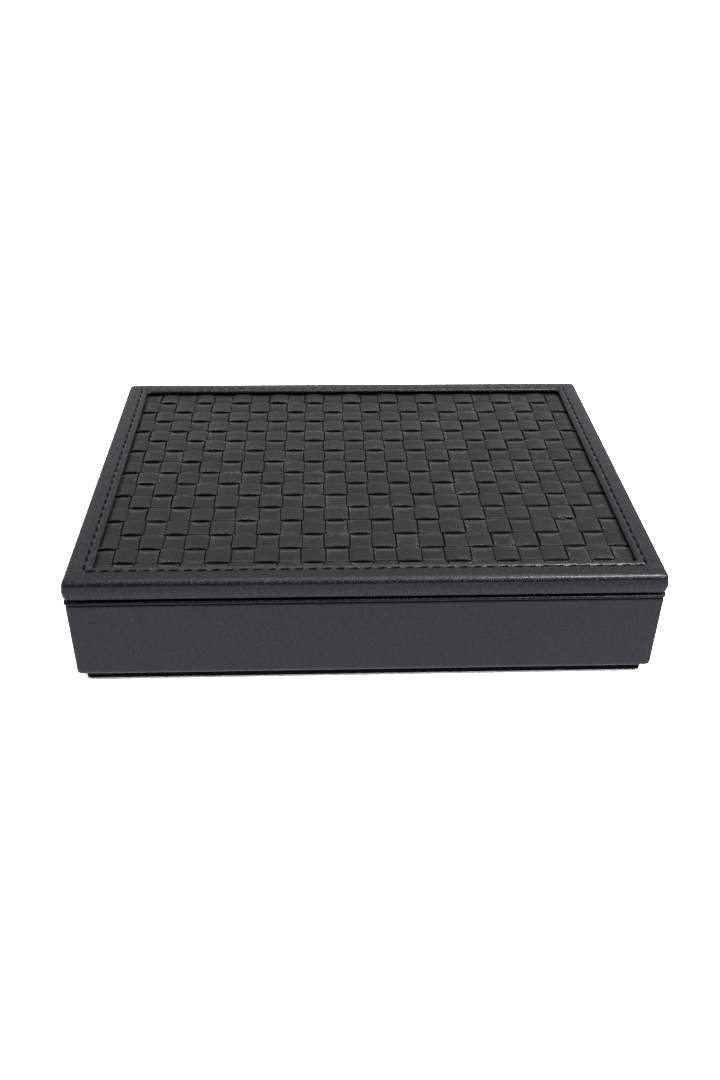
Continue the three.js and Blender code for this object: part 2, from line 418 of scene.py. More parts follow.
@dataclass
class RingSkin:
    """A closed skin that passes through a stack of rings and back to the first."""

    name: str
    rings: list[Ring]
    along_front: int
    along_side: int
    corner_steps: int = 5
    start_radius: float = 3
    stack_step: float = 1

    def build(self) -> Piece:
        """Extrudes the first outline ring by ring, bridges it shut and moves each ring to its place.

        Returns:
            The skin.
        """
        start = self.rings[0].plan
        Bench.clear()
        bpy.ops.mesh.primitive_plane_add(size=1)
        piece = Bench.named(self.name)
        Bench.edit(piece)
        bpy.ops.transform.resize(value=(start.width * MM, start.depth * MM, 1))
        bpy.ops.mesh.bevel(
            offset=self.start_radius * MM, segments=self.corner_steps, profile=0.5, affect="VERTICES"
        )
        bpy.ops.mesh.delete(type="ONLY_FACE")
        shortest = 4 * self.start_radius * MM
        for axis, pieces in ((0, self.along_front), (1, self.along_side)):
            Bench.pick(piece, "edges", lambda e: self.runs_along(e, axis) and e.calc_length() > shortest)
            bpy.ops.mesh.subdivide(number_cuts=pieces - 1)
        bpy.ops.mesh.select_mode(type="EDGE")
        bpy.ops.mesh.select_all(action="SELECT")
        for _ in self.rings[1:]:
            bpy.ops.mesh.extrude_edges_move(
                TRANSFORM_OT_translate={"value": (0, 0, self.stack_step * MM)}
            )
        top = (len(self.rings) - 1) * self.stack_step * MM
        near = self.stack_step * MM / 4
        Bench.pick(
            piece,
            "edges",
            lambda e: any(all(abs(v.co.z - level) < near for v in e.verts) for level in (0, top)),
        )
        bpy.ops.mesh.bridge_edge_loops()
        Bench.done()
        Bench.place(piece, self.placed(Bench.places(piece)))
        Bench.edit(piece, "FACE")
        bpy.ops.mesh.normals_make_consistent(inside=False)
        Bench.done()
        return piece

    @staticmethod
    def runs_along(edge: bmesh.types.BMEdge, axis: int) -> bool:
        """Tells whether an edge runs along an axis.

        Args:
            edge: the edge.
            axis: 0 for x or 1 for y.

        Returns:
            True where it does.
        """
        first, last = edge.verts
        run = last.co - first.co
        return abs(run[1 - axis]) < abs(run[axis]) * 0.01

    def placed(self, stacked: Array) -> Array:
        """Finds where each vertex of the straight stack belongs.

        Args:
            stacked: vertices of the stack, in millimetres.

        Returns:
            The same vertices, each on its own ring.
        """
        x, y, z = stacked.T
        start, radius = self.rings[0].plan, self.start_radius
        half_width, half_depth = start.width / 2, start.depth / 2
        level = np.rint(z / self.stack_step).astype(int)
        across = np.clip(x / (half_width - radius), -1, 1)
        along = np.clip(y / (half_depth - radius), -1, 1)
        turn_x = x - across * (half_width - radius)
        turn_y = y - along * (half_depth - radius)
        reach = np.maximum(np.hypot(turn_x, turn_y), 1e-9)
        out_x, out_y = turn_x / reach, turn_y / reach
        table = np.array([(*astuple(r.plan), r.radius, r.back_radius or r.radius, r.z) for r in self.rings])
        left, right, front, back, front_radius, back_radius, height = table[level].T
        ring_radius = np.where(y > 0, back_radius, front_radius)
        share_x, share_y = (across + 1) / 2, (along + 1) / 2
        # On a straight side the radius is that of the nearer corner, so the side stays straight.
        base_x = left + ring_radius + share_x * (right - left - 2 * ring_radius)
        base_y = front + front_radius + share_y * (back - front - front_radius - back_radius)
        new_x = base_x + out_x * ring_radius
        new_y = base_y + out_y * ring_radius
        return np.column_stack([new_x, new_y, height])


@dataclass
class Sheet:
    """A flat closed piece made from a grid: its top and its underside each follow a height field."""

    name: str
    x_places: Array
    y_places: Array
    top: HeightField
    underside: HeightField
    shift: Callable[[Array, Array], tuple[Array, Array]] | None = None

    def build(self) -> Piece:
        """Adds the grid, moves it to its places and gives it a thickness.

        Returns:
            The sheet.
        """
        columns, rows = len(self.x_places), len(self.y_places)
        Bench.clear()
        bpy.ops.mesh.primitive_grid_add(x_subdivisions=columns - 1, y_subdivisions=rows - 1, size=1)
        piece = Bench.named(self.name)
        flat = Bench.places(piece) * MM
        column = np.rint((flat[:, 0] + 0.5) * (columns - 1)).astype(int)
        row = np.rint((flat[:, 1] + 0.5) * (rows - 1)).astype(int)
        x, y = self.x_places[column], self.y_places[row]
        if self.shift is not None:
            x, y = self.shift(x, y)
        top = self.top(x, y)
        Bench.place(piece, np.column_stack([x, y, top]))
        Bench.apply(piece, "SOLIDIFY", thickness=MM, offset=-1)
        low = np.column_stack([x, y, self.underside(x, y)])
        Bench.place(piece, np.vstack([np.column_stack([x, y, top]), low]))
        return piece


# Shader maths


class Value:
    """A shader number: arithmetic on it adds Math nodes."""

    def __init__(self, recipe: "Recipe", socket: Socket) -> None:
        """Wraps a socket of a recipe."""
        self.recipe = recipe
        self.socket = socket

    def _math(self, operation: str, *terms: "Value | float") -> "Value":
        """Adds one Math node that works on the terms."""
        made = self.recipe.node("ShaderNodeMath", {"operation": operation}, dict(enumerate(terms)))
        return Value(self.recipe, made.outputs[0])

    def __add__(self, other: "Value | float") -> "Value":
        """The sum."""
        return self._math("ADD", self, other)

    def __radd__(self, other: float) -> "Value":
        """The sum, number first."""
        return self._math("ADD", other, self)

    def __sub__(self, other: "Value | float") -> "Value":
        """The difference."""
        return self._math("SUBTRACT", self, other)

    def __rsub__(self, other: float) -> "Value":
        """The difference, number first."""
        return self._math("SUBTRACT", other, self)

    def __mul__(self, other: "Value | float") -> "Value":
        """The product."""
        return self._math("MULTIPLY", self, other)

    def __rmul__(self, other: float) -> "Value":
        """The product, number first."""
        return self._math("MULTIPLY", other, self)

    def __pow__(self, power: float) -> "Value":
        """The power."""
        return self._math("POWER", self, power)

    def above(self, limit: float, soft: float) -> "Value":
        """Rises from 0 to 1 over a soft step.

        Args:
            limit: where the step starts.
            soft: how wide the step is.

        Returns:
            The stepped value.
        """
        made = self.recipe.node(
            "ShaderNodeMapRange",
            {"interpolation_type": "SMOOTHSTEP"},
            {"Value": self, "From Min": limit, "From Max": limit + soft},
        )
        return Value(self.recipe, made.outputs["Result"])


class Recipe:
    """The node tree of one material or world."""

    def __init__(self, tree: bpy.types.NodeTree) -> None:
        """Starts from an emptied tree."""
        self.tree = tree
        tree.nodes.clear()

    def node(
        self, kind: str, settings: dict[str, object] | None = None, values: dict[object, object] | None = None
    ) -> bpy.types.Node:
        """Adds a node.

        Args:
            kind: the node's type.
            settings: its own settings, which are set first.
            values: numbers, colours or links for its sockets, by name or number.

        Returns:
            The node.
        """
        made = self.tree.nodes.new(kind)
        for name, setting in (settings or {}).items():
            setattr(made, name, setting)
        for name, value in (values or {}).items():
            socket = made.inputs[name]
            if isinstance(value, Value):
                self.tree.links.new(value.socket, socket)
            elif isinstance(value, Socket):
                self.tree.links.new(value, socket)
            else:
                socket.default_value = value
        return made

    def value(
        self, kind: str, output: str, settings: dict | None = None, values: dict | None = None
    ) -> Value:
        """Adds a node and wraps one of its outputs."""
        return Value(self, self.node(kind, settings, values).outputs[output])

    def places(self, scale: Sequence[float] = (1, 1, 1)) -> Socket:
        """Object coordinates, stretched.

        Args:
            scale: stretch along each axis.

        Returns:
            The coordinates' socket.
        """
        start = self.node("ShaderNodeTexCoord").outputs["Object"]
        stretched = {"Vector": start, "Scale": tuple(scale)}
        return self.node("ShaderNodeMapping", values=stretched).outputs["Vector"]

    def slanted(self, degrees: float, stretch: float) -> Socket:
        """The piece's own places, turned about the upright and drawn out along one way.

        Args:
            degrees: how far they are turned.
            stretch: how far they are drawn out.

        Returns:
            The socket with the places.
        """
        turned = {
            "Vector": self.places(),
            "Rotation": (0, 0, math.radians(degrees)),
            "Scale": (1, stretch, stretch),
        }
        return self.node("ShaderNodeMapping", {"vector_type": "TEXTURE"}, turned).outputs["Vector"]

    def noise(self, places: Socket, scale: float, detail: float = 3, rough: float = 0.5) -> Value:
        """A noise texture, about 0.5 on average."""
        inputs = {"Vector": places, "Scale": scale, "Detail": detail, "Roughness": rough}
        return self.value("ShaderNodeTexNoise", "Fac", values=inputs)

    def cells(self, places: Socket, scale: float, feature: str = "DISTANCE_TO_EDGE") -> Value:
        """A cell texture."""
        inputs = {"Vector": places, "Scale": scale}
        return self.value("ShaderNodeTexVoronoi", "Distance", {"feature": feature}, inputs)

    def mix(self, share: "Value | float", first: object, second: object) -> Socket:
        """Mixes two colours."""
        made = self.node("ShaderNodeMix", {"data_type": "RGBA"}, {0: share, 6: first, 7: second})
        return made.outputs[2]

    def bump(self, height: Value, depth: float, under: Socket | None = None) -> Socket:
        """Turns a height into a bumped normal.

        Args:
            height: 0 to 1.
            depth: the height of 1, in millimetres.
            under: a bump that this one lies on.

        Returns:
            The normal.
        """
        inputs = {"Height": height, "Distance": depth * MM, "Strength": 1}
        if under is not None:
            inputs["Normal"] = under
        return self.node("ShaderNodeBump", values=inputs).outputs["Normal"]

    def finish(self, **inputs: object) -> None:
        """Adds the surface shader and the output.

        Args:
            inputs: the shader's inputs, with underlines for the spaces in their names.
        """
        named = {name.replace("_", " "): value for name, value in inputs.items()}
        shader = self.node("ShaderNodeBsdfPrincipled", values=named)
        self.node("ShaderNodeOutputMaterial", values={"Surface": shader.outputs[0]})

    def rays(self, *kinds: str) -> list[Value]:
        """Whether light runs as one of these kinds of ray, such as Camera, one value each."""
        path = self.node("ShaderNodeLightPath")
        return [Value(self, path.outputs[f"Is {kind} Ray"]) for kind in kinds]

    def blend(self, share: Value, first: bpy.types.Node, second: bpy.types.Node, output: str) -> None:
        """Mixes two shaders into the output.

        Args:
            share: 0 for the first shader, 1 for the second.
            first: a shader.
            second: a shader.
            output: the output's node type.
        """
        shaders = {0: share, 1: first.outputs[0], 2: second.outputs[0]}
        both = self.node("ShaderNodeMixShader", values=shaders)
        self.node(output, values={"Surface": both.outputs[0]})


def grey(level: float, warmth: float = 0, violet: float = 0) -> tuple[float, float, float, float]:
    """A near grey colour."""
    return (level * (1 + warmth / 2), level * (1 - violet), level * (1 - warmth / 2), 1)


def new_recipe(name: str) -> tuple[Material, Recipe]:
    """Starts a material.

    Args:
        name: the material's name.

    Returns:
        The material and its empty recipe.
    """
    material = bpy.data.materials.new(name)
    material.use_nodes = True
    return material, Recipe(material.node_tree)


@dataclass(frozen=True)
class SmoothLeather:
    """Black calf leather with a fine printed grain, as on the lid's border and round the body."""

    name: str = "smooth_black_leather"
    tone: float = 0.010
    warmth: float = -0.42
    violet: float = 0.16
    roughness: float = 0.28
    specular: float = 0.42
    lacquer: float = 0.3
    lacquer_roughness: float = 0.2
    grain: float = 0.55
    grain_depth: float = 0.05
    hair_depth: float = 0.08

    def build(self) -> Material:
        """Makes the material.

        Returns:
            The material, dressed and ready for a slot.
        """
        material, recipe = new_recipe(self.name)
        plain = recipe.places()
        mottle = recipe.noise(plain, scale=90, detail=4, rough=0.6)
        patches = recipe.noise(plain, scale=14, detail=2)
        wobble = recipe.node("ShaderNodeTexNoise", values={"Vector": plain, "Scale": 500, "Detail": 2})
        warped = recipe.node(
            "ShaderNodeMix",
            {"data_type": "VECTOR"},
            {0: 0.0012, 4: plain, 5: wobble.outputs["Color"]},
        ).outputs[1]
        pebble = recipe.cells(warped, 1000 / self.grain).above(0.02, 0.22)
        pores = recipe.noise(plain, scale=2600, detail=2)
        hairs = recipe.noise(recipe.slanted(38, 3.5), scale=1900, detail=2, rough=0.6)
        level = mottle * 0.35 + patches * 0.5 + pebble * 0.25
        dark, pale = (grey(self.tone * share, self.warmth, self.violet) for share in (0.72, 1.35))
        colour = recipe.mix(level, dark, pale)
        soft = recipe.bump(recipe.noise(plain, scale=120, detail=3), 0.06)
        haired = recipe.bump(hairs, self.hair_depth, soft)
        grained = recipe.bump(pebble * 0.8 + pores * 0.35, self.grain_depth, haired)
        recipe.finish(
            Base_Color=colour,
            Roughness=self.roughness + (mottle - 0.5) * 0.16 - pebble * 0.04,
            Normal=grained,
            Specular_IOR_Level=self.specular,
            Coat_Weight=self.lacquer * (0.3 + 1.2 * hairs.above(0.46, 0.12)),
            Coat_Roughness=self.lacquer_roughness,
        )
        return material


class Run(Enum):
    """Which way a strip of the woven panel runs."""

    WARP = "warp"
    WEFT = "weft"


@dataclass(frozen=True)
class StripLeather:
    """Thin strap leather, drawn along each strip and rubbed a little lighter along its cut edges."""

    run: Run
    tone: float = 0.0125
    warmth: float = 0.0
    roughness: float = 0.28
    specular: float = 0.6
    edge_tone: float = 0.04
    # painted glints: colour of the bright flecks along the strips' edges
    glint_tone: float = 0.42
    # cut edges and underside near black: edge dye, and painted shade in the gaps between strips
    cut_edge_and_shade_tone: float = 0.003
    painted_light_tone: float = 0.07  # painted light: lighter grey where a warp strip dives into the shade under the weft

    def build(self) -> Material:
        """Makes the material.

        Returns:
            The material, dressed and ready for a slot.
        """
        material, recipe = new_recipe(f"strap_leather_{self.run.value}")
        plain = recipe.places()
        stretch = (1, 0.22, 1) if self.run is Run.WARP else (0.22, 1, 1)
        drawn = recipe.places(stretch)
        streaks = recipe.noise(drawn, scale=700, detail=3, rough=0.6)
        mottle = recipe.noise(plain, scale=160, detail=4, rough=0.6)
        pores = recipe.noise(plain, scale=2200, detail=3, rough=0.6)
        specks = recipe.noise(plain, scale=900, detail=1).above(0.74, 0.05)
        edge, under, tone, painted_dive_light = (
            recipe.value("ShaderNodeAttribute", "Fac", {"attribute_name": name})
            for name in ("edge", "under", "tone", "painted_dive_light")
        )
        level = tone * 0.5 + mottle * 0.4 + streaks * 0.2 - 0.05
        dark, pale = (grey(self.tone * share, self.warmth) for share in (0.7, 1.4))
        plain_colour = recipe.mix(level, dark, pale)
        worn = (edge ** 3) * mottle * 0.9 + specks * 0.25
        rubbed = recipe.mix(worn, plain_colour, grey(self.edge_tone, self.warmth))
        # Painted light: lighter grey where a warp strip dives into the shade under the weft.
        dive_lightened = recipe.mix(painted_dive_light, rubbed, grey(self.painted_light_tone))
        # Painted glints: small bright flecks along the strips' edges, where the leather bends.
        flecks = recipe.noise(recipe.slanted(20, 0.5), scale=1300, detail=2, rough=0.6).above(0.6, 0.03)
        patches = recipe.noise(plain, scale=60, detail=2).above(0.47, 0.2)
        glinted = recipe.mix(flecks * (edge + 0.04) * patches, dive_lightened, grey(self.glint_tone))
        # Cut edges and underside go near black: edge dye, and painted shade in the gaps between strips.
        colour = recipe.mix(under.above(0.05, 0.3), glinted, grey(self.cut_edge_and_shade_tone))
        soft = recipe.bump(mottle * 0.6 + streaks * 0.4, 0.14)
        grained = recipe.bump(pores, 0.06, soft)
        recipe.finish(
            Base_Color=colour,
            Roughness=self.roughness + (mottle - 0.5) * 0.2 + (streaks - 0.5) * 0.1,
            Normal=grained,
            Specular_IOR_Level=self.specular,
        )
        return material


@dataclass(frozen=True)
class SeamThread:
    """Waxed black thread, laid in plies that turn along its length."""

    tone: float = 0.0015
    plies: float = 9
    name: str = "waxed_black_thread"

    def build(self) -> Material:
        """Makes the material.

        Returns:
            The material, dressed and ready for a slot.
        """
        material, recipe = new_recipe(self.name)
        along = recipe.node("ShaderNodeTexCoord").outputs["UV"]
        lay = recipe.node("ShaderNodeMapping", values={"Vector": along, "Rotation": (0, 0, math.radians(38))})
        wave = recipe.value(
            "ShaderNodeTexWave",
            "Fac",
            {"bands_direction": "X"},
            {"Vector": lay.outputs["Vector"], "Scale": self.plies, "Distortion": 0.4},
        )
        fluff = recipe.noise(recipe.places(), scale=3000, detail=2)
        colour = recipe.mix(wave * 0.7 + fluff * 0.3, grey(self.tone * 0.5), grey(self.tone * 1.6))
        recipe.finish(
            Base_Color=colour,
            Roughness=0.42 + fluff * 0.16,
            Normal=recipe.bump(wave, 0.06),
            Specular_IOR_Level=0.06,
        )
        return material


@dataclass(frozen=True)
class NappedCloth:
    """Suede or felt: short fibres, no gloss, a soft sheen at the edges."""

    name: str
    tone: float
    warmth: float
    fibre: float
    sheen: float
    depth: float = 0.12

    def build(self) -> Material:
        """Makes the material.

        Returns:
            The material, dressed and ready for a slot.
        """
        material, recipe = new_recipe(self.name)
        plain = recipe.places()
        fibres = recipe.noise(plain, scale=1000 / self.fibre, detail=4, rough=0.7)
        stroked = recipe.noise(recipe.places((1, 0.5, 1)), scale=45, detail=3)
        dark, pale = (grey(self.tone * share, self.warmth) for share in (0.6, 1.5))
        colour = recipe.mix(fibres * 0.5 + stroked * 0.5, dark, pale)
        recipe.finish(
            Base_Color=colour,
            Roughness=0.88 + fibres * 0.1,
            Normal=recipe.bump(fibres, self.depth),
            Specular_IOR_Level=0.15,
            Sheen_Weight=self.sheen,
            Sheen_Roughness=0.4,
        )
        return material


@dataclass(frozen=True)
class Fibreboard:
    """Pressed wood fibre. Above one height it is stained black, where the weave's gaps show it."""

    name: str
    stained_above: float
    tone: tuple[float, float, float, float] = (0.36, 0.23, 0.11, 1)

    def build(self) -> Material:
        """Makes the material.

        Returns:
            The material, dressed and ready for a slot.
        """
        material, recipe = new_recipe(self.name)
        plain = recipe.places()
        fibres = recipe.noise(recipe.places((1, 1, 0.4)), scale=900, detail=4, rough=0.7)
        flecks = recipe.cells(plain, 500, "F1")
        height = recipe.node("ShaderNodeSeparateXYZ", values={"Vector": plain}).outputs["Z"]
        stain = Value(recipe, height).above((self.stained_above - 0.2) * MM, 0.1 * MM)
        dark = tuple(part * 0.7 for part in self.tone[:3]) + (1,)
        pale = recipe.mix(fibres * 0.7 + flecks * 0.3, dark, self.tone)
        colour = recipe.mix(stain, pale, grey(0.01))
        recipe.finish(
            Base_Color=colour,
            Roughness=0.78 + fibres * 0.14,
            Normal=recipe.bump(fibres, 0.05),
            Specular_IOR_Level=0.3,
        )
        return material


@dataclass(frozen=True)
class NickelPlate:
    """Brushed nickel plate with faint rub marks."""

    name: str = "brushed_nickel"
    tone: float = 0.55

    def build(self) -> Material:
        """Makes the material.

        Returns:
            The material, dressed and ready for a slot.
        """
        material, recipe = new_recipe(self.name)
        brushed = recipe.noise(recipe.places((0.06, 1, 1)), scale=4200, detail=3, rough=0.6)
        dull = recipe.noise(recipe.places(), scale=260, detail=3)
        recipe.finish(
            Base_Color=recipe.mix(dull, grey(self.tone * 0.85, 0.06), grey(self.tone * 1.1, 0.06)),
            Metallic=1.0,
            Roughness=0.24 + brushed * 0.14 + dull * 0.08,
            Normal=recipe.bump(brushed, 0.008),
        )
        return material


@dataclass
class Wardrobe:
    """The materials, each made once."""

    smooth: Material = field(default_factory=lambda: SmoothLeather().build())
    calm: Material = field(
        default_factory=lambda: SmoothLeather(
            "calm_black_leather", violet=0.19, specular=0.43, lacquer=0.18, grain_depth=0.035, hair_depth=0.05
        ).build()
    )
    # Painted shade: darker leather for the rim strip, for the shadow under the lid's overhang.
    shaded: Material = field(
        default_factory=lambda: SmoothLeather("painted_shade_black_leather", 0.006, specular=0.3, lacquer=0.14).build()
    )
    warp: Material = field(default_factory=lambda: StripLeather(Run.WARP).build())
    weft: Material = field(default_factory=lambda: StripLeather(Run.WEFT).build())
    thread: Material = field(default_factory=lambda: SeamThread().build())
    suede: Material = field(
        default_factory=lambda: NappedCloth("black_suede", 0.016, 0.04, 0.45, 0.25).build()
    )
    felt: Material = field(
        default_factory=lambda: NappedCloth("black_felt", 0.002, 0, 0.9, 0.0, 0.2).build()
    )
    nickel: Material = field(default_factory=lambda: NickelPlate().build())


# Woven panel


@dataclass
class WovenPanel:
    """The panel of the lid: strips that cross over and under one another, one mesh each."""

    wardrobe: Wardrobe
    opening: Rect
    columns: int = 23
    rows: int = 16
    # The strips are cut and laid by hand, so their widths differ and the rows drift from level.
    column_widths: tuple[float, ...] = (
        12.0, 11.2, 11.9, 11.7, 12.0, 12.6, 12.4, 12.2, 11.8, 11.9, 12.6, 12.2,
        12.1, 12.7, 12.5, 12.9, 12.8, 12.3, 12.3, 12.8, 11.9, 12.2, 12.2,
    )  # fmt: skip
    row_shifts: tuple[float, ...] = (
        0.3, 0.35, -0.1, 0.15, -0.4, 0.0, 0.5, 0.0, 0.25, 0.4, 0.5, 0.45, 0.0, -0.5, -0.8, -0.45, -0.3,
    )  # fmt: skip
    left_edge: float = -140.9
    slant_back: float = -1.3
    slant_front: float = -0.65
    lean: float = 0.75
    lean_reach: float = 60
    half_width: float = 140
    thickness: float = 0.85
    least_thickness: float = 0.28
    clearance: float = 0.05
    hollow: float = 1.3  # how far below the panel's top a strip lies where it passes under
    weft_share: float = 0.94  # how much of a row a weft strip covers
    blend: float = 0.3  # how far from a crossing's end a strip starts to change level
    weft_lift: float = 0.2  # how far the weft stands up in the middle of its crossings
    weft_arch: float = 0.58
    weft_fall: float = 0.15
    front_lift: float = 0.25  # how much more its front edge stands up there
    warp_arch: float = 0.15
    warp_fall: float = 1.15
    dive_back: float = 0.38  # where along a crossing the warp starts to dive at the back, in its middle
    dive_late: float = 0.5  # how much later it does so at its edges
    dive_front: float = 0.92  # where it starts in front, where it is drawn tight
    sink_beside_hem: float = 0.6
    sink_width: float = 1.3
    trim: float = 0.42  # how much is pared off each edge of a warp strip
    warp_share: float = 0.88  # how much of a column a warp strip covers
    crown: float = 0.09  # how far its surface drops at its edges
    crown_power: float = 10
    arch_spread: float = 0.14
    tilt: float = 0.07
    most_tilt: float = 0.05  # how far a crossing's tilt may raise it
    sink: float = 0.12  # how much lower than the rest a crossing may lie
    wander: float = 0.17
    end_margin: float = 0.35
    painted_light_rise: float = 3  # how fast the painted light comes on where a strip dives
    seed: int = 41
    along_shares: tuple[float, ...] = (-1, -0.965, -0.93, -0.86, -0.65, -0.35, 0, 0.35, 0.6, 0.78, 0.9, 0.96)
    across_shares: tuple[float, ...] = (-1, -0.975, -0.93, -0.8, -0.5, -0.18, 0.18, 0.5, 0.8, 0.93, 0.975, 1)

    def __post_init__(self) -> None:
        """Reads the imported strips' places and draws the differences between one crossing and the next."""
        first, last = Rect.of_node("warp_strip_01"), Rect.of_node(f"warp_strip_{self.columns}")
        self.column_pitch = (last.left - first.left) / (self.columns - 1)
        self.first_column = first.left - (self.column_pitch - first.width) / 2
        back, near = Rect.of_node("weft_strip_01"), Rect.of_node(f"weft_strip_{self.rows - 1}")
        self.row_pitch = (back.back - near.back) / (self.rows - 2)
        self.weft_width = back.depth
        self.first_row = back.back + (self.row_pitch - back.depth) / 2
        self.floor, self.top = heights("weft_strip_01")
        rng = np.random.default_rng(self.seed)
        cells = (self.rows + 2, self.columns + 2)
        self.cell_arch = 1 + self.arch_spread * rng.uniform(-1, 1, cells)
        self.cell_tilt_x = self.tilt * rng.uniform(-1, 1, cells)
        self.cell_tilt_y = self.tilt * rng.uniform(-1, 1, cells)
        self.cell_sink = self.sink * rng.uniform(0, 1, cells)
        self.tones = {Run.WARP: rng.uniform(0, 1, self.columns), Run.WEFT: rng.uniform(0, 1, self.rows)}

    def build(self) -> None:
        """Makes every strip."""
        for run, count in ((Run.WARP, self.columns), (Run.WEFT, self.rows)):
            for index in range(count):
                self.strip(run, index)

    def settled(self, x: Array, y: Array) -> tuple[Array, Array]:
        """Moves places of the even panel to where the strips really lie.

        Args:
            x: places from left to right.
            y: places from front to back.

        Returns:
            The places in the uneven panel.
        """
        even_x = self.first_column + self.column_pitch * np.arange(self.columns + 1)
        real_x = self.left_edge + np.concatenate([[0], np.cumsum(self.column_widths)])
        even_y = self.first_row - self.row_pitch * np.arange(self.rows + 1)
        real_y = even_y + np.array(self.row_shifts)
        new_x = x + np.interp(x, even_x, real_x - even_x)
        new_y = y + np.interp(y, even_y[::-1], (real_y - even_y)[::-1])
        back_share = np.clip((y - self.opening.front) / self.opening.depth, 0, 1)
        slant = self.slant_front + (self.slant_back - self.slant_front) * back_share
        new_x = new_x + self.lean * (2 * back_share - 1) * np.clip(-x / self.lean_reach, -0.3, 1)
        return new_x, new_y + slant * x / self.half_width

    def cell_of(self, x: Array, y: Array) -> tuple[Array, Array, Array, Array]:
        """Finds the crossing that each place lies in.

        Args:
            x: places from left to right.
            y: places from front to back.

        Returns:
            Column and row numbers, and the place within the crossing as -1 to 1 on both axes.
        """
        across = (x - self.first_column) / self.column_pitch
        down = (self.first_row - y) / self.row_pitch
        column = np.clip(np.floor(across), -1, self.columns).astype(int)
        row = np.clip(np.floor(down), -1, self.rows).astype(int)
        return column, row, 2 * (across - column) - 1, 1 - 2 * (down - row)

    def levels(self, run: Run, x: Array, y: Array, own: Array) -> tuple[Array, Array]:
        """Top and underside of a strip.

        Args:
            run: which way the strip runs.
            x: places from left to right.
            y: places from front to back.
            own: the place across the strip itself, -1 to 1.

        Returns:
            The heights of its top and of its underside.
        """
        column, row, share_x, share_y = self.cell_of(x, y)
        along = share_x if run is Run.WEFT else share_y
        number = column if run is Run.WEFT else row
        count = self.columns if run is Run.WEFT else self.rows
        half_pitch = (self.column_pitch if run is Run.WEFT else self.row_pitch) / 2
        over_here = self.passes_over(run, column, row)
        top, low = self.crossing(run, column, row, share_x, share_y, own, over_here)
        # Near the end of a crossing the strip blends into its level in the next one.
        reach = self.blend / half_pitch
        for side in (-1, 1):
            near = (side * along > 1 - reach) & (number + side >= -1) & (number + side <= count)
            beside_column = np.clip(column + (side if run is Run.WEFT else 0), -1, self.columns)
            beside_row = np.clip(row - (side if run is Run.WARP else 0), -1, self.rows)
            beside_x = share_x - (2 * side if run is Run.WEFT else 0)
            beside_y = share_y - (2 * side if run is Run.WARP else 0)
            over_beside = self.passes_over(run, beside_column, beside_row)
            next_top, next_low = self.crossing(
                run, beside_column, beside_row, beside_x, beside_y, own, over_beside
            )
            share = np.clip((side * along - (1 - reach)) / (2 * reach), 0, 0.5)
            share = np.where(near, share * share * (3 - 2 * share), 0)
            top = top + share * (next_top - top)
            low = low + share * (next_low - low)
        return self.top + top, self.top + low

    def passes_over(self, run: Run, column: Array, row: Array) -> Array:
        """Tells where a strip lies on top of the one that it crosses.

        Args:
            run: which way the strip runs.
            column: the crossings' columns.
            row: the crossings' rows.

        Returns:
            True where the strip lies on top.
        """
        weft_over = (column + row) % 2 == 1
        inside = (column >= 0) & (column < self.columns) & (row >= 0) & (row < self.rows)
        return inside & (weft_over if run is Run.WEFT else ~weft_over)

    def painted_light_share(self, run: Run, x: Array, y: Array) -> Array:
        """Finds where a warp strip has begun to dive at the back of a crossing, which gets painted light.

        Args:
            run: which way the strip runs.
            x: places from left to right.
            y: places from front to back.

        Returns:
            Shares from 0 to 1.
        """
        column, row, share_x, share_y = self.cell_of(x, y)
        start = self.dive_back + self.dive_late * np.abs(np.clip(share_x / self.warp_share, -1, 1)) ** 3
        dive = np.clip((share_y - start) / (1 - start), 0, 1)
        shows = self.passes_over(run, column, row) & (run is Run.WARP)
        return np.where(shows, np.clip(dive * self.painted_light_rise, 0, 1), 0)

    def crossing(
        self, run: Run, column: Array, row: Array, share_x: Array, share_y: Array, own: Array, over: Array
    ) -> tuple[Array, Array]:
        """Top and underside of a strip within one crossing, below the panel's top.

        Args:
            run: which way the strip runs.
            column: the crossing's column.
            row: the crossing's row.
            share_x: place across the crossing.
            share_y: place along the crossing.
            own: place across the strip itself.
            over: whether the strip lies on top here.

        Returns:
            Depths of the top and of the underside.
        """
        tilt = self.cell_tilt_x[row, column] * share_x + self.cell_tilt_y[row, column] * share_y
        weft_over = (column + row) % 2 == 1
        along = np.abs(np.where(weft_over, share_x, share_y))
        strip_share = np.where(weft_over, self.weft_share, self.warp_share)
        across = np.clip(np.where(weft_over, share_y, share_x) / strip_share, -1, 1)
        across = np.where(over, own, across)
        weft_drop = self.weft_arch * along**2.2 + self.weft_fall * along**9 - self.weft_lift
        weft_drop = weft_drop - self.front_lift * np.clip(1 - along**4, 0, 1) * np.clip(-share_y, 0, 1) ** 2
        start = np.where(share_y < 0, self.dive_front, self.dive_back + self.dive_late * np.abs(across) ** 3)
        dive = np.clip((along - start) / (1 - start), 0, 1)
        warp_drop = self.warp_arch * along**2 + self.warp_fall * dive**1.2
        drop = np.where(weft_over, weft_drop, warp_drop) * self.cell_arch[row, column]
        crown = self.crown * np.abs(across) ** self.crown_power
        upper = np.minimum(tilt, self.most_tilt) - self.cell_sink[row, column] - drop - crown
        depth = self.floor - self.top
        upper_low = np.maximum(upper - self.thickness, depth + self.least_thickness + self.clearance)
        lower = np.minimum(upper_low - self.clearance, -self.hollow)
        if run is Run.WEFT:
            # The weft stays up until it meets the edge of the warp that it goes under.
            beyond = np.clip((np.abs(share_x) - self.warp_share - 0.008) / (0.992 - self.warp_share), 0, 1)
            end = self.weft_lift - self.weft_arch - self.weft_fall - self.cell_sink[row, column]
            lower = lower + np.maximum(end - lower, 0) * beyond**1.3
        lower_low = np.maximum(lower - self.thickness, depth)
        return np.where(over, upper, lower), np.where(over, upper_low, lower_low)

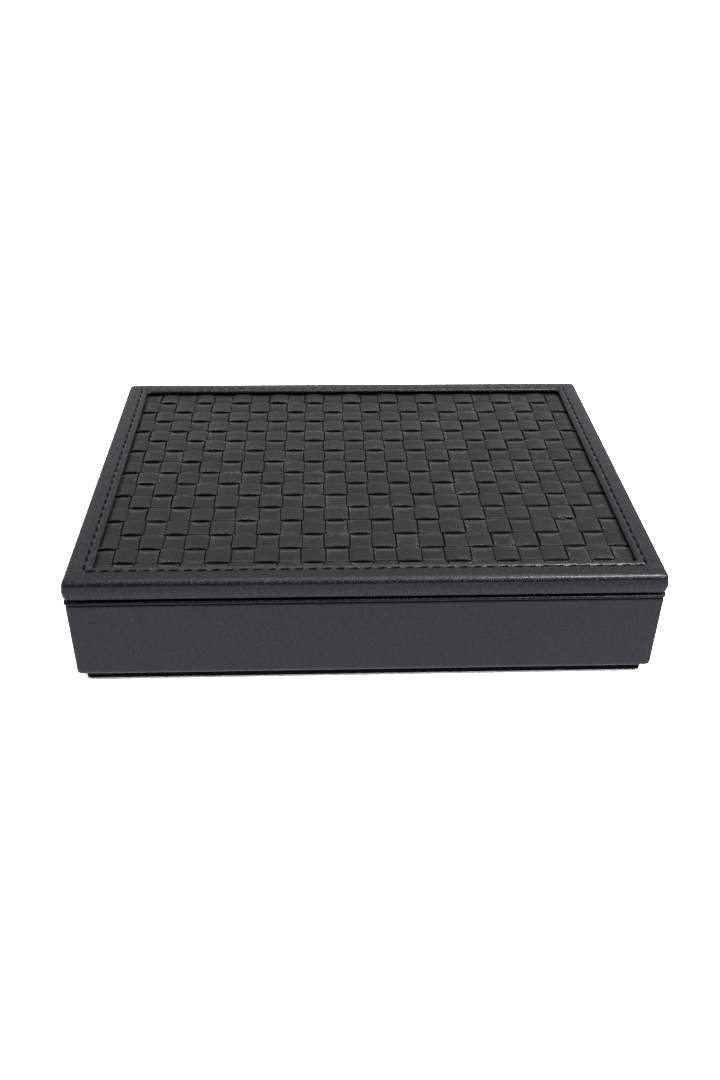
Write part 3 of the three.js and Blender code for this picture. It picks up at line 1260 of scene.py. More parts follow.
    def strip(self, run: Run, index: int) -> None:
        """Makes one strip.

        Args:
            run: which way it runs.
            index: its number, from the left or from the back.
        """
        node = f"{run.value}_strip_{index + 1:02d}"
        plan = Rect.of_node(node)
        if run is Run.WARP:
            middle = self.first_column + (index + 0.5) * self.column_pitch
            half = plan.width / 2 - self.trim
            low, high = plan.front, plan.back
            ends = self.first_row - self.row_pitch * np.arange(self.rows, -1, -1.0)
            half_pitch = self.row_pitch / 2
        else:
            middle = self.first_row - (index + 0.5) * self.row_pitch
            half = self.weft_width / 2
            low, high = plan.left, plan.right
            ends = self.first_column + self.column_pitch * np.arange(self.columns + 1.0)
            half_pitch = self.column_pitch / 2
        runs = [
            centre + share * half_pitch
            for centre in (ends[:-1] + ends[1:]) / 2
            for share in self.along_shares
        ]
        tail = np.array([ends[-1], ends[-1] + self.end_margin, (ends[-1] + high) / 2, high])
        lead = np.array([low, (low + ends[0]) / 2, ends[0] - self.end_margin])
        places = np.unique(np.round(np.concatenate([lead, runs, tail]), 4))
        places = places[(places >= low - 1e-6) & (places <= high + 1e-6)]
        across = middle + half * np.array(self.across_shares)
        least, most = (plan.left, plan.right) if run is Run.WARP else (plan.front, plan.back)
        if run is Run.WEFT and index == self.rows - 1:
            across = np.linspace(least, most, len(across))
        edge_wander = Wander(self.seed + 100 * (index + 1) + (run is Run.WEFT), self.wander, 60, 4)

        def shift(x: Array, y: Array) -> tuple[Array, Array]:
            """Lets the strip wander a little from side to side."""
            if run is Run.WARP:
                return x + edge_wander.at(y, 0 * y), y
            return x, y + edge_wander.at(x, 0 * x)

        def own_share(x: Array, y: Array) -> Array:
            """Place across the strip, -1 to 1, with its wander taken off."""
            if run is Run.WARP:
                return (x - edge_wander.at(y, 0 * y) - middle) / half
            return (y - edge_wander.at(x, 0 * x) - middle) / half

        def height(x: Array, y: Array, under: bool) -> Array:
            """The strip's top, or its underside."""
            return self.levels(run, x, y, np.clip(own_share(x, y), -1, 1))[int(under)]

        x_places, y_places = (across, places) if run is Run.WARP else (places, across)
        sheet = Sheet(
            node.replace("strip", "strap"),
            x_places,
            y_places,
            lambda x, y: height(x, y, False),
            lambda x, y: height(x, y, True),
            shift,
        )
        piece = sheet.build()
        made = Bench.places(piece)
        Bench.attribute(piece, "edge", np.abs(own_share(made[:, 0], made[:, 1])).clip(0, 1) ** 4)
        Bench.attribute(piece, "tone", np.full(len(made), self.tones[run][index]))
        # Where the warp dives into shade, which the material paints lighter as painted light.
        Bench.attribute(piece, "painted_dive_light", self.painted_light_share(run, made[:, 0], made[:, 1]))
        Bench.attribute(piece, "under", np.arange(len(made)) >= len(made) // 2)
        made[:, 0], made[:, 1] = self.settled(made[:, 0], made[:, 1])
        inside = np.minimum.reduce(
            [made[:, 0] - self.opening.left, self.opening.right - made[:, 0], self.opening.back - made[:, 1]]
        )
        made[:, 2] -= self.sink_beside_hem * bell(np.clip(inside, 0, None), self.sink_width)
        Bench.place(piece, made)
        Bench.smooth(piece, 50)
        finish = self.wardrobe.warp if run is Run.WARP else self.wardrobe.weft
        Bench.hand_over(piece, Body.LID, Slot.WOVEN, finish, [node])


# Lid


@dataclass
class LidSkin:
    """The leather that wraps the lid, with the seam round its opening, and the lining under it."""

    wardrobe: Wardrobe
    opening: Rect
    pockets: "HingeSet"
    corner: float = 2.6
    under_edge: float = 1.7
    top_edge: float = 3.3
    top_edge_side: float = 1.9
    bulge: float = 0.38
    padding: float = 0.3  # how far the padded border has come down where its edge starts to turn
    padding_reach: float = 8
    leather: float = 1.2
    seam_side: float = 4.0
    seam_front: float = 3.25
    stitches_along: int = 41
    stitches_deep: int = 30
    steps_per_stitch: int = 8
    stitch_length: float = 7  # from one hole to the next
    stitch_gap: float = 2.1
    stitch_slant: float = 9
    slant_spread: float = 2
    lift_spread: float = 0.04
    thread: float = 0.46
    groove: float = 0.42
    groove_width: float = 0.6
    bridge_reach: float = 0.8  # how far the leather between two stitches stands up in the groove
    lip: float = 0.12  # how far the leather swells beside the groove
    lip_place: float = 0.95
    lip_width: float = 0.35
    hem_swell: float = 0.55
    hem_place: float = 2.1
    hem_width: float = 1.2
    lining_fit: float = 0.3
    lining_edge: float = 1.1
    seed: int = 23
    # Distances of the rings from the seam, and the hem's profile as distance out and drop.
    seam_rings: tuple[float, ...] = (4.5, 2.6, 1.6, 1.0, 0.65, 0.35, 0.12, -0.12, -0.35, -0.65, -1.0, -1.5)
    hem: tuple[tuple[float, float], ...] = (
        (1.35, 0.0), (0.95, 0.04), (0.6, 0.15), (0.32, 0.34), (0.12, 0.6), (0.0, 0.95), (0.02, 1.3),
    )  # fmt: skip
    # A stitch's sections: place along it, lift and thickness, all as shares.
    sections: tuple[tuple[float, float, float], ...] = (
        (-0.5, -0.62, 0.55), (-0.46, -0.22, 0.85), (-0.36, -0.02, 1), (0, 0.05, 1.04),
        (0.36, -0.02, 1), (0.46, -0.22, 0.85), (0.5, -0.62, 0.55),
    )  # fmt: skip

    def __post_init__(self) -> None:
        """Reads the lid's place and sets the seam's line."""
        self.plan = Rect.of_node("lid_border_leather")
        self.bottom, self.top = heights("lid_border_leather")
        self.hem_bottom = heights("weft_strip_01")[1] + 0.14
        self.plug = Rect.of_node("lid_lining_panel")
        self.seam = self.opening.grown(self.seam_side, self.seam_front, self.seam_side)

    def build(self) -> None:
        """Makes the lid's leather, seam and lining."""
        self.border()
        self.seam_thread()
        self.lining()

    def outer_rings(self) -> list[Ring]:
        """Rings from the underside's inner edge, round the outside, to the top's outer part.

        Returns:
            The rings in that order.
        """
        rings = [
            Ring(self.plug.grown(self.lining_fit), self.bottom, 1.5),
            Ring(self.plan.grown(-3), self.bottom, 2),
            Ring(self.plan.grown(-self.under_edge - self.bulge), self.bottom, self.corner),
        ]
        under = Turn(self.plan, self.corner, self.bottom, self.under_edge, self.under_edge, inset=self.bulge)
        rings += under.rings((30, 60, 90))
        side_low, side_high = self.bottom + self.under_edge, self.top - self.top_edge
        for share in (0.2, 0.4, 0.6, 0.8):
            inset = self.bulge * (2 * share - 1) ** 2
            z = side_low + share * (side_high - side_low)
            rings.append(Ring(self.plan.grown(-inset), z, self.corner))
        upper = Turn(
            self.plan, self.corner, self.top, -self.top_edge, self.top_edge_side, self.top_edge, self.bulge
        )
        return rings + upper.rings(range(90, -1, -15))

    def inner_rings(self) -> list[Ring]:
        """Rings from outside the seam, over the hem, down into the opening and back under the leather.

        Returns:
            The rings in that order.
        """
        rings = []
        for distance in self.seam_rings:
            radius = max(0.5, 0.8 + 0.35 * distance)
            rings.append(Ring(self.seam.grown(distance), self.top, radius, radius + 0.6))
        for out, drop in self.hem:
            rings.append(Ring(self.opening.grown(out), self.top - drop, 0.9, 2.8))
        inner_top, inner_bottom = self.top - self.leather, self.bottom + self.leather
        inside = self.plan.grown(-self.leather)
        return rings + [
            Ring(self.opening.grown(0.15), self.hem_bottom, 1.0, 2.9),
            Ring(self.opening.grown(1.5), self.hem_bottom, 1.2, 3),
            Ring(self.opening.grown(6.2), self.hem_bottom, 1.5, 3),
            Ring(self.opening.grown(6.3), inner_top, 1.5, 3),
            Ring(inside, inner_top, 1.4),
            Ring(inside, inner_bottom, 1.4),
            Ring(self.plug.grown(self.lining_fit), inner_bottom, 1.5),
        ]

    def along_seam(self, x: Array, y: Array) -> Array:
        """Finds how far each place is along the nearest side of the seam.

        Args:
            x: places from left to right.
            y: places from front to back.

        Returns:
            Lengths in stitches.
        """
        near_end = np.minimum(np.abs(y - self.seam.front), np.abs(y - self.seam.back))
        near_side = np.minimum(np.abs(x - self.seam.left), np.abs(x - self.seam.right))
        along = (x - self.seam.left) / self.seam.width * self.stitches_along
        deep = (y - self.seam.front) / self.seam.depth * self.stitches_deep
        return np.where(near_end <= near_side, along, deep)

    def border(self) -> None:
        """The leather round the lid, with a groove along the seam, and the leather standing up in it between
        one stitch and the next.
        """
        rings = self.outer_rings() + self.inner_rings()
        steps = self.steps_per_stitch
        skin = RingSkin(
            "lid_leather", rings, self.stitches_along * steps, self.stitches_deep * steps, corner_steps=6
        )
        piece = skin.build()
        places = Bench.places(piece)
        x, y, z = places.T
        off_seam = self.distance_to_seam(x, y)
        upper = (z > self.top - 0.4) & (off_seam < 5)
        phase = self.along_seam(x, y)
        to_hole = np.abs(phase - np.rint(phase)) * self.stitch_length
        line = bell(off_seam, self.groove_width)
        swell = self.hem_swell * bell(off_seam + self.hem_place, self.hem_width)
        lips = self.lip * bell(np.abs(off_seam) - self.lip_place, self.lip_width)
        bridge = bell(to_hole, self.bridge_reach)
        dips = swell + lips - self.groove * line * (1 - 1.2 * bridge)
        uneven = Wander(7, 0.035, 46).at(x, y)
        from_edge = np.minimum(self.plan.right - np.abs(x), self.plan.back - np.abs(y))
        padded = self.padding * np.clip(1 - from_edge / self.padding_reach, 0, 1) ** 2
        places[:, 2] += np.where(upper, dips + uneven, 0) - np.where(z > self.top - self.top_edge, padded, 0)
        outside = z > self.bottom + self.leather + 0.1
        outside &= z < self.top - self.top_edge
        bow = Wander(8, 0.04, 70).at(x + y, z * 3)
        on_front = outside & (np.abs(np.abs(y) - self.plan.back) < 0.4)
        places[:, 1] -= np.where(on_front, np.sign(y) * np.abs(bow), 0)
        Bench.place(piece, places)
        Bench.combine(piece, self.pockets.cutters(), "DIFFERENCE")
        Bench.smooth(piece, 55)
        Bench.hand_over(piece, Body.LID, Slot.LEATHER, self.wardrobe.smooth, ["lid_border_leather"])

    def distance_to_seam(self, x: Array, y: Array) -> Array:
        """Finds how far each place lies outside the seam's line.

        Args:
            x: places from left to right.
            y: places from front to back.

        Returns:
            Millimetres, which are negative inside the seam.
        """
        seam = self.seam
        middle_x, middle_y = (seam.left + seam.right) / 2, (seam.front + seam.back) / 2
        return np.maximum(np.abs(x - middle_x) - seam.width / 2, np.abs(y - middle_y) - seam.depth / 2)

    def stitch(self) -> Piece:
        """Makes one stitch along x about the origin, a short length of thread that dips into its holes.

        Returns:
            The stitch.
        """
        length = self.seam.width / self.stitches_along - self.stitch_gap
        Bench.clear()
        bpy.ops.mesh.primitive_circle_add(vertices=8, radius=self.thread * MM, rotation=(0, math.pi / 2, 0))
        piece = Bench.named("stitch")
        bpy.ops.object.transform_apply(location=False, rotation=True, scale=False)
        Bench.edit(piece)
        share, lift, size = self.sections[0]
        bpy.ops.transform.translate(value=(share * length * MM, 0, lift * MM))
        bpy.ops.transform.resize(value=(1, size, size), center_override=(share * length * MM, 0, lift * MM))
        bpy.ops.mesh.edge_face_add()
        for (old_share, old_lift, old_size), (share, lift, size) in zip(self.sections, self.sections[1:]):
            move = ((share - old_share) * length * MM, 0, (lift - old_lift) * MM)
            bpy.ops.mesh.extrude_region_move(TRANSFORM_OT_translate={"value": move})
            ratio = size / old_size
            bpy.ops.transform.resize(
                value=(1, ratio, ratio), center_override=(share * length * MM, 0, lift * MM)
            )
        Bench.face_outwards()
        Bench.done()
        self.unwrap_stitch(piece, length)
        Bench.smooth(piece, 80)
        return piece

    def unwrap_stitch(self, piece: Piece, length: float) -> None:
        """Gives a stitch a map that runs along its length and round it.

        Args:
            piece: the stitch.
            length: how long it is.
        """
        layer = piece.data.uv_layers.new(name="UVMap")
        for loop in piece.data.loops:
            x, y, z = piece.data.vertices[loop.vertex_index].co / MM
            layer.data[loop.index].uv = (x / length, math.atan2(y, z) / (2 * math.pi))

    def seam_thread(self) -> None:
        """Lays a stitch in every space of the seam and joins them."""
        model = self.stitch()
        rng = np.random.default_rng(self.seed)
        seam = self.seam
        height = self.top - self.groove + self.thread * 0.45
        sides = (
            (seam.left, seam.front, 1, 0, self.stitches_along, seam.width),
            (seam.right, seam.front, 0, 1, self.stitches_deep, seam.depth),
            (seam.right, seam.back, -1, 0, self.stitches_along, seam.width),
            (seam.left, seam.back, 0, -1, self.stitches_deep, seam.depth),
        )
        copies = []
        for start_x, start_y, run_x, run_y, count, span in sides:
            for number in range(count):
                along = (number + 0.5) * span / count
                x, y = start_x + run_x * along, start_y + run_y * along
                spread = rng.uniform(-self.slant_spread, self.slant_spread)
                slant = math.atan2(run_y, run_x) + math.radians(self.stitch_slant + spread)
                lift = rng.uniform(-self.lift_spread, self.lift_spread)
                copy = bpy.data.objects.new("stitch_copy", model.data.copy())
                copy.data.transform(Matrix.Rotation(slant, 4, "Z"))
                Bench.shift(copy, x, y, height + lift)
                bpy.context.scene.collection.objects.link(copy)
                copies.append(copy)
        bpy.data.objects.remove(model)
        piece = Bench.joined(copies, "lid_seam_thread")
        Bench.hand_over(piece, Body.LID, Slot.LEATHER, self.wardrobe.thread)

    def lining(self) -> None:
        """The covered board under the lid, with its lower edges rounded."""
        low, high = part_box("lid_lining_panel")
        plan, edge = self.plug, self.lining_edge

        def underside(x: Array, y: Array) -> Array:
            """Flat in the middle and turned up at the edges."""
            turn = 1 - np.clip(plan.inside(x, y) / edge, 0, 1)
            return low.z / MM + edge * (1 - np.sqrt(1 - turn**2)) + np.abs(Wander(31, 0.05, 80).at(x, y))

        piece = Sheet(
            "lid_lining",
            edge_places(plan.left, plan.right, 36),
            edge_places(plan.front, plan.back, 28),
            lambda x, y: np.full(x.shape, high.z / MM),
            underside,
        ).build()
        Bench.smooth(piece, 60)
        Bench.hand_over(piece, Body.LID, Slot.SUEDE, self.wardrobe.suede, ["lid_lining_panel"])


def edge_places(low: float, high: float, count: int) -> Array:
    """Places between two edges, closer together near both.

    Args:
        low: the first edge.
        high: the last edge.
        count: how many even steps the middle has.

    Returns:
        The places in order.
    """
    near = np.array([0, 0.08, 0.25, 0.5, 0.8, 1.1])
    middle = np.linspace(low + 2.5, high - 2.5, count)
    return np.concatenate([low + near, middle, (high - near)[::-1]])


# Body


@dataclass
class BodySkin:
    """The leather round the walls, the rim strip, the pad under the base and the lining inside."""

    wardrobe: Wardrobe
    pockets: "HingeSet"
    corner: float = 2.0
    lower_edge: float = 2.1
    upper_edge: float = 1.9
    upper_reach: float = 1.33  # how far in the upper edge starts
    leather: float = 1.2
    turn_in: float = 14
    wall_rings: int = 10
    along_front: int = 64
    along_side: int = 48
    unevenness: float = 0.06  # of the walls, which are flat again near their edges
    rim_edge: float = 0.5
    rim_ragged: float = 0.035  # how unevenly the rim strip is cut
    lining: float = 1  # thickness of the walls' lining
    pad_corner: float = 2
    pad_edge: float = 0.4
    pillow_reach: float = 2.6  # how far from the walls the padded floor is rounded down
    pillow_drop: float = 0.8

    def build(self) -> None:
        """Makes the body's skins and linings."""
        self.wrap()
        self.rim()
        self.pad()
        self.floor()
        self.walls()

    def wrap(self) -> None:
        """The leather round the walls, turned under the base."""
        low, high = heights("body_leather_wrap")
        plan = Rect.of_node("body_leather_wrap")
        rings = [
            Ring(plan.grown(-self.turn_in), low, 1),
            Ring(plan.grown(-6), low, 1.5),
            Ring(plan.grown(-self.lower_edge - 0.6), low, self.corner),
        ]
        rings += Turn(plan, self.corner, low, self.lower_edge, self.lower_edge).rings((0, 22.5, 45, 67.5, 90))
        for z in np.linspace(low + self.lower_edge + 1.5, high - self.upper_edge - 1, self.wall_rings):
            rings.append(Ring(plan, float(z), self.corner))
        upper = Turn(plan, self.corner, high, -self.upper_edge, self.upper_reach)
        rings += upper.rings(range(90, -1, -18))
        inside = plan.grown(-2)
        rings += [
            Ring(inside, high, 1),
            Ring(inside, low + self.leather, 1),
            Ring(plan.grown(-self.turn_in), low + self.leather, 1),
        ]
        piece = RingSkin("body_leather", rings, self.along_front, self.along_side).build()
        places = Bench.places(piece)
        x, y, z = places.T
        facing_y = np.abs(np.abs(y) - plan.back) < 0.05
        facing_x = np.abs(np.abs(x) - plan.right) < 0.05
        uneven = np.abs(Wander(12, self.unevenness, 85).at(x + 1.3 * y, z))
        fade = np.clip((z - low - 2) / 4, 0, 1) * np.clip((high - 1 - z) / 4, 0, 1)
        places[:, 1] -= np.where(facing_y, np.sign(y) * uneven * fade, 0)
        places[:, 0] -= np.where(facing_x, np.sign(x) * uneven * fade, 0)
        Bench.place(piece, places)
        Bench.combine(piece, self.pockets.cutters(), "DIFFERENCE")
        Bench.smooth(piece, 50)
        Bench.hand_over(piece, Body.BOX, Slot.LEATHER, self.wardrobe.calm, ["body_leather_wrap"])

    def rim(self) -> None:
        """The thin strip on top of the walls, a little proud of them."""
        low, high = heights("rim_leather_strip")
        plan = Rect.of_node("rim_leather_strip")
        cavity = Rect.of_node("wall_lining").grown(0.1)
        radius = self.corner + self.rim_edge
        edge = ((-self.rim_edge, 0), (-0.14, 0.16), (0, self.rim_edge))
        rings = [
            Ring(cavity, low, 1),
            *(Ring(plan.grown(out), low + up, radius) for out, up in edge),
            *(Ring(plan.grown(out), high - up, radius) for out, up in reversed(edge)),
            Ring(plan.grown(-4), high, radius),
            Ring(cavity.grown(0.4), high, 1),
            Ring(cavity.grown(0.1), high - 0.15, 1),
            Ring(cavity, high - 0.45, 1),
        ]
        piece = RingSkin("rim_strip", rings, 150, 110).build()
        places = Bench.places(piece)
        outer = np.maximum(np.abs(places[:, 0]) - plan.right, np.abs(places[:, 1]) - plan.back) > -0.45
        ragged = Wander(15, self.rim_ragged, 9).at(places[:, 0] + places[:, 1], places[:, 0] - places[:, 1])
        places[:, 2] += np.where(outer, -np.abs(ragged), 0)
        Bench.place(piece, places)
        Bench.combine(piece, self.pockets.cutters(), "DIFFERENCE")
        Bench.smooth(piece, 50)
        # The rim strip's darker leather is painted shade from the lid's overhang.
        Bench.hand_over(piece, Body.BOX, Slot.LEATHER, self.wardrobe.shaded, ["rim_leather_strip"])

    def pad(self) -> None:
        """The felt pad that the box stands on."""
        low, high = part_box("base_felt_pad")
        piece = Bench.block("felt_pad", low / MM, high / MM)
        Bench.edit(piece, "EDGE")
        Bench.pick(piece, "edges", lambda e: abs(e.verts[0].co.z - e.verts[1].co.z) > MM)
        bpy.ops.mesh.bevel(offset=self.pad_corner * MM, segments=6, affect="EDGES")
        Bench.pick(piece, "edges", lambda e: all(v.co.z < low.z + 0.1 * MM for v in e.verts))
        bpy.ops.mesh.bevel(offset=self.pad_edge * MM, segments=3, affect="EDGES")
        Bench.done()
        Bench.smooth(piece, 40)
        Bench.hand_over(piece, Body.BOX, Slot.FELT, self.wardrobe.felt, ["base_felt_pad"])

    def floor(self) -> None:
        """The padded floor of the box, crowned and pulled down along its edges."""
        low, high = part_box("floor_lining_pad")
        plan = Rect.of_node("floor_lining_pad")

        def top(x: Array, y: Array) -> Array:
            """Full in the middle and rounded down to the walls."""
            turn = 1 - np.clip(plan.inside(x, y) / self.pillow_reach, 0, 1)
            return high.z / MM - self.pillow_drop * turn**2.2 - np.abs(Wander(17, 0.06, 60).at(x, y))

        piece = Sheet(
            "floor_lining",
            edge_places(plan.left, plan.right, 48),
            edge_places(plan.front, plan.back, 36),
            top,
            lambda x, y: np.full(x.shape, low.z / MM),
        ).build()
        Bench.smooth(piece, 60)
        Bench.hand_over(piece, Body.BOX, Slot.SUEDE, self.wardrobe.suede, ["floor_lining_pad"])

    def walls(self) -> None:
        """The lining of the four walls."""
        low, high = heights("wall_lining")
        plan = Rect.of_node("wall_lining")
        cavity = plan.grown(-self.lining)
        rings = [Ring(plan, low, 0.5, 0.5), Ring(plan, high, 0.5, 0.5), Ring(cavity.grown(0.35), high, 1)]
        rings += [Ring(cavity, float(z), 1.2) for z in np.linspace(high - 0.4, low + 0.4, 8)]
        rings.append(Ring(cavity.grown(0.3), low, 1))
        piece = RingSkin("wall_suede", rings, 40, 30, start_radius=2).build()
        Bench.smooth(piece, 50)
        Bench.hand_over(piece, Body.BOX, Slot.SUEDE, self.wardrobe.suede, ["wall_lining"])


# Hinges


@dataclass
class HingeSet:
    """Two butt hinges at the back, each with two leaves, a pin and four countersunk screws."""

    wardrobe: Wardrobe
    width: float = 30
    plate: float = 1.2
    plate_corner: float = 1.2
    fit: float = 0.3
    knuckle: float = 1.9
    bore: float = 1.05
    heel_inner: float = 2.1
    heel_outer: float = 2.9
    heel_end: float = -47.8
    overlap: float = 0.2  # how far a neck reaches into what it joins
    pin: float = 0.8
    pin_dome: float = 0.3
    knuckle_gap: float = 0.3
    screw: float = 1.7
    seat_fit: float = 0.08
    seat_depth: float = 0.9
    head_drop: float = 0.52  # from the plate's face to where a screw's head starts
    head_height: float = 0.42
    head_rim: float = 0.12
    slot_width: float = 0.44
    facets: int = 28
    screw_reach: float = 8.2
    screw_y: float = 111.1
    steps: int = 32
    sides: tuple[str, ...] = ("left", "right")

    def __post_init__(self) -> None:
        """Reads the pins' line and the space between the leaves."""
        low, high = (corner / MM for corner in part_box("hinge_pin_left"))
        self.pin_y, self.pin_z = (low.y + high.y) / 2, (low.z + high.z) / 2
        self.plate_gap = (heights("lid_border_leather")[0] - heights("rim_leather_strip")[1]) / 2
        self.heel_start = math.degrees(math.asin(self.plate_gap / self.heel_inner)) - 180

    def middle(self, side: str) -> float:
        """The middle of a hinge, from left to right."""
        low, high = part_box(f"hinge_pin_{side}")
        return (low.x + high.x) / 2 / MM

    def cutters(self) -> list[Piece]:
        """Makes the blocks that cut both hinges' pockets out of a skin.

        Returns:
            The blocks.
        """
        blocks = []
        reach = self.width / 2 + self.fit
        for side in self.sides:
            middle = self.middle(side)
            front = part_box(f"hinge_body_leaf_{side}")[0].y / MM - self.fit
            depth = self.plate_gap + self.plate + self.fit
            low = (middle - reach, front, self.pin_z - depth)
            high = (middle + reach, self.pin_y, self.pin_z + depth)
            blocks.append(Bench.block("pocket", low, high))
        return blocks

    def build(self) -> None:
        """Makes both hinges."""
        for side in self.sides:
            self.leaf(side, Body.BOX)
            self.leaf(side, Body.LID)
            self.pin_of(side)
            self.screws(side, Body.BOX)
            self.screws(side, Body.LID)

    def turned(
        self, name: str, ends: tuple[float, float], radii: tuple[float, float], start: float, sweep: float
    ) -> Piece:
        """A ring or part of one about the pin's axis, spun from its cross-section.

        Args:
            name: the piece's name.
            ends: its ends along the pin.
            radii: inner and outer radius.
            start: where it starts, in degrees from the back.
            sweep: how far it turns, in degrees.

        Returns:
            The piece, about the origin.
        """
        turn = math.radians(start)
        (low, high), (inner, outer) = ends, radii
        Bench.clear()
        bpy.ops.mesh.primitive_plane_add(size=1)
        piece = Bench.named(name)
        Bench.edit(piece)
        bpy.ops.transform.resize(value=((high - low) * MM, (outer - inner) * MM, 1))
        bpy.ops.transform.translate(value=((low + high) / 2 * MM, (inner + outer) / 2 * MM, 0))
        Bench.done()
        piece.data.transform(Matrix.Rotation(turn, 4, "X"))
        Bench.edit(piece)
        steps = max(6, round(self.steps * sweep / 360))
        bpy.ops.mesh.spin(
            steps=steps,
            angle=math.radians(sweep),
            center=(0, 0, 0),
            axis=(-1, 0, 0),
        )
        if sweep == 360:
            bpy.ops.mesh.select_all(action="SELECT")
            bpy.ops.mesh.remove_doubles(threshold=0.001 * MM)
            Bench.pick(piece, "faces", lambda f: abs(f.normal.x) < 0.1 and self.cuts_through(f))
            bpy.ops.mesh.delete(type="FACE")
        Bench.face_outwards()
        Bench.done()
        return piece

    @staticmethod
    def cuts_through(face: bmesh.types.BMFace) -> bool:
        """Tells whether a face lies across a ring, with its normal round the axis.

        Args:
            face: the face, with the hinge's axis at the origin.

        Returns:
            True where it does.
        """
        middle = face.calc_center_median()
        radial = Vector((0, middle.y, middle.z)).normalized()
        return abs(face.normal.dot(radial)) < 0.1

    def leaf(self, side: str, body: Body) -> None:
        """One leaf: plate, heel and knuckles, melted together.

        Args:
            side: left or right.
            body: the body that it is screwed to.
        """
        node = f"hinge_{'body' if body is Body.BOX else 'lid'}_leaf_{side}"
        half = self.width / 2
        plate_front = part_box(node)[0].y / MM - self.pin_y
        top = -self.plate_gap
        piece = Bench.block(
            node.replace("hinge", "butt_hinge"),
            (-half, plate_front, top - self.plate),
            (half, -self.heel_inner, top),
        )
        Bench.edit(piece, "EDGE")
        near_end = (plate_front + 0.1) * MM
        Bench.pick(
            piece,
            "edges",
            lambda e: all(v.co.y < near_end for v in e.verts) and abs(e.verts[0].co.x - e.verts[1].co.x) < MM,
        )
        bpy.ops.mesh.bevel(offset=self.plate_corner * MM, segments=5, affect="EDGES")
        Bench.done()
        arc = self.heel_start, self.heel_end - self.heel_start
        neck = self.knuckle - self.overlap, self.heel_inner + self.overlap
        parts = [self.turned("heel", (-half, half), (self.heel_inner, self.heel_outer), *arc)]
        third = (self.width - 2 * self.knuckle_gap) / 3
        slots = (0, 2) if body is Body.BOX else (1,)
        for slot in slots:
            low = -half + slot * (third + self.knuckle_gap)
            parts.append(self.turned("neck", (low, low + third), neck, *arc))
            parts.append(self.turned("knuckle", (low, low + third), (self.bore, self.knuckle), 0, 360))
        Bench.combine(piece, parts, "UNION")
        Bench.combine(piece, [self.screw_seat(x) for x in self.screw_places()], "DIFFERENCE")
        if body is Body.LID:
            piece.data.transform(Matrix.Rotation(math.pi, 4, "Y"))
        Bench.shift(piece, self.middle(side), self.pin_y, self.pin_z)
        Bench.smooth(piece, 35)
        Bench.hand_over(piece, body, Slot.METAL, self.wardrobe.nickel, [node])

    def screw_places(self) -> tuple[float, float]:
        """Where the screws stand, along the pin from the hinge's middle."""
        return (-self.screw_reach, self.screw_reach)

    def screw_seat(self, x: float) -> Piece:
        """Makes a round cutter for a screw's seat in the plate.

        Args:
            x: how far the screw is from the hinge's middle.

        Returns:
            The cutter.
        """
        Bench.clear()
        radius, depth = self.screw + self.seat_fit, self.seat_depth
        bpy.ops.mesh.primitive_cylinder_add(vertices=self.facets, radius=radius * MM, depth=depth * MM)
        piece = Bench.named("seat")
        centre = Vector((x, self.screw_y - self.pin_y, -self.plate_gap - 0.05)) * MM
        Bench.edit(piece)
        bpy.ops.transform.translate(value=centre)
        Bench.done()
        return piece

    def screws(self, side: str, body: Body) -> None:
        """The two countersunk screws of a leaf, each with a slot.

        Args:
            side: left or right.
            body: the body whose leaf they hold.
        """
        heads = []
        for number, x in enumerate(self.screw_places()):
            Bench.clear()
            bpy.ops.mesh.primitive_circle_add(vertices=self.facets, radius=self.screw * MM, fill_type="NGON")
            head = Bench.named(f"screw_{number}")
            Bench.edit(head, "FACE")
            bpy.ops.mesh.extrude_region_move(TRANSFORM_OT_translate={"value": (0, 0, self.head_height * MM)})
            bpy.ops.mesh.inset(thickness=self.head_rim * MM, depth=0.05 * MM)
            bpy.ops.mesh.inset(thickness=0.5 * MM, depth=0.05 * MM)
            Bench.face_outwards()
            Bench.done()
            half_slot = self.slot_width / 2
            slot = Bench.block("slot", (-2, -half_slot, 0.2), (2, half_slot, 2))
            slot.data.transform(Matrix.Rotation(math.radians(35 + 70 * number), 4, "Z"))
            Bench.combine(head, [slot], "DIFFERENCE")
            Bench.shift(head, x, self.screw_y - self.pin_y, -self.plate_gap - self.head_drop)
            heads.append(head)
        leaf = "body" if body is Body.BOX else "lid"
        piece = Bench.joined(heads, f"{leaf}_leaf_screws_{side}")
        if body is Body.LID:
            piece.data.transform(Matrix.Rotation(math.pi, 4, "Y"))
        Bench.shift(piece, self.middle(side), self.pin_y, self.pin_z)
        Bench.smooth(piece, 35)
        Bench.hand_over(piece, body, Slot.METAL, self.wardrobe.nickel)

    def pin_of(self, side: str) -> None:
        """Makes the hinge's pin, with domed ends.

        Args:
            side: which hinge, left or right.
        """
        node = f"hinge_pin_{side}"
        Bench.clear()
        bpy.ops.mesh.primitive_cylinder_add(
            vertices=self.steps, radius=self.pin * MM, depth=self.width * MM, rotation=(0, math.pi / 2, 0)
        )
        piece = Bench.named(f"butt_hinge_pin_{side}")
        bpy.ops.object.transform_apply(location=False, rotation=True, scale=False)
        Bench.edit(piece, "EDGE")
        end = self.width / 2 * MM
        Bench.pick(piece, "edges", lambda e: all(abs(abs(v.co.x) - end) < 0.01 * MM for v in e.verts))
        bpy.ops.mesh.bevel(offset=self.pin_dome * MM, segments=4, affect="EDGES")
        Bench.done()
        Bench.shift(piece, self.middle(side), self.pin_y, self.pin_z)
        Bench.smooth(piece, 40)
        Bench.hand_over(piece, Body.BOX, Slot.METAL, self.wardrobe.nickel, [node])


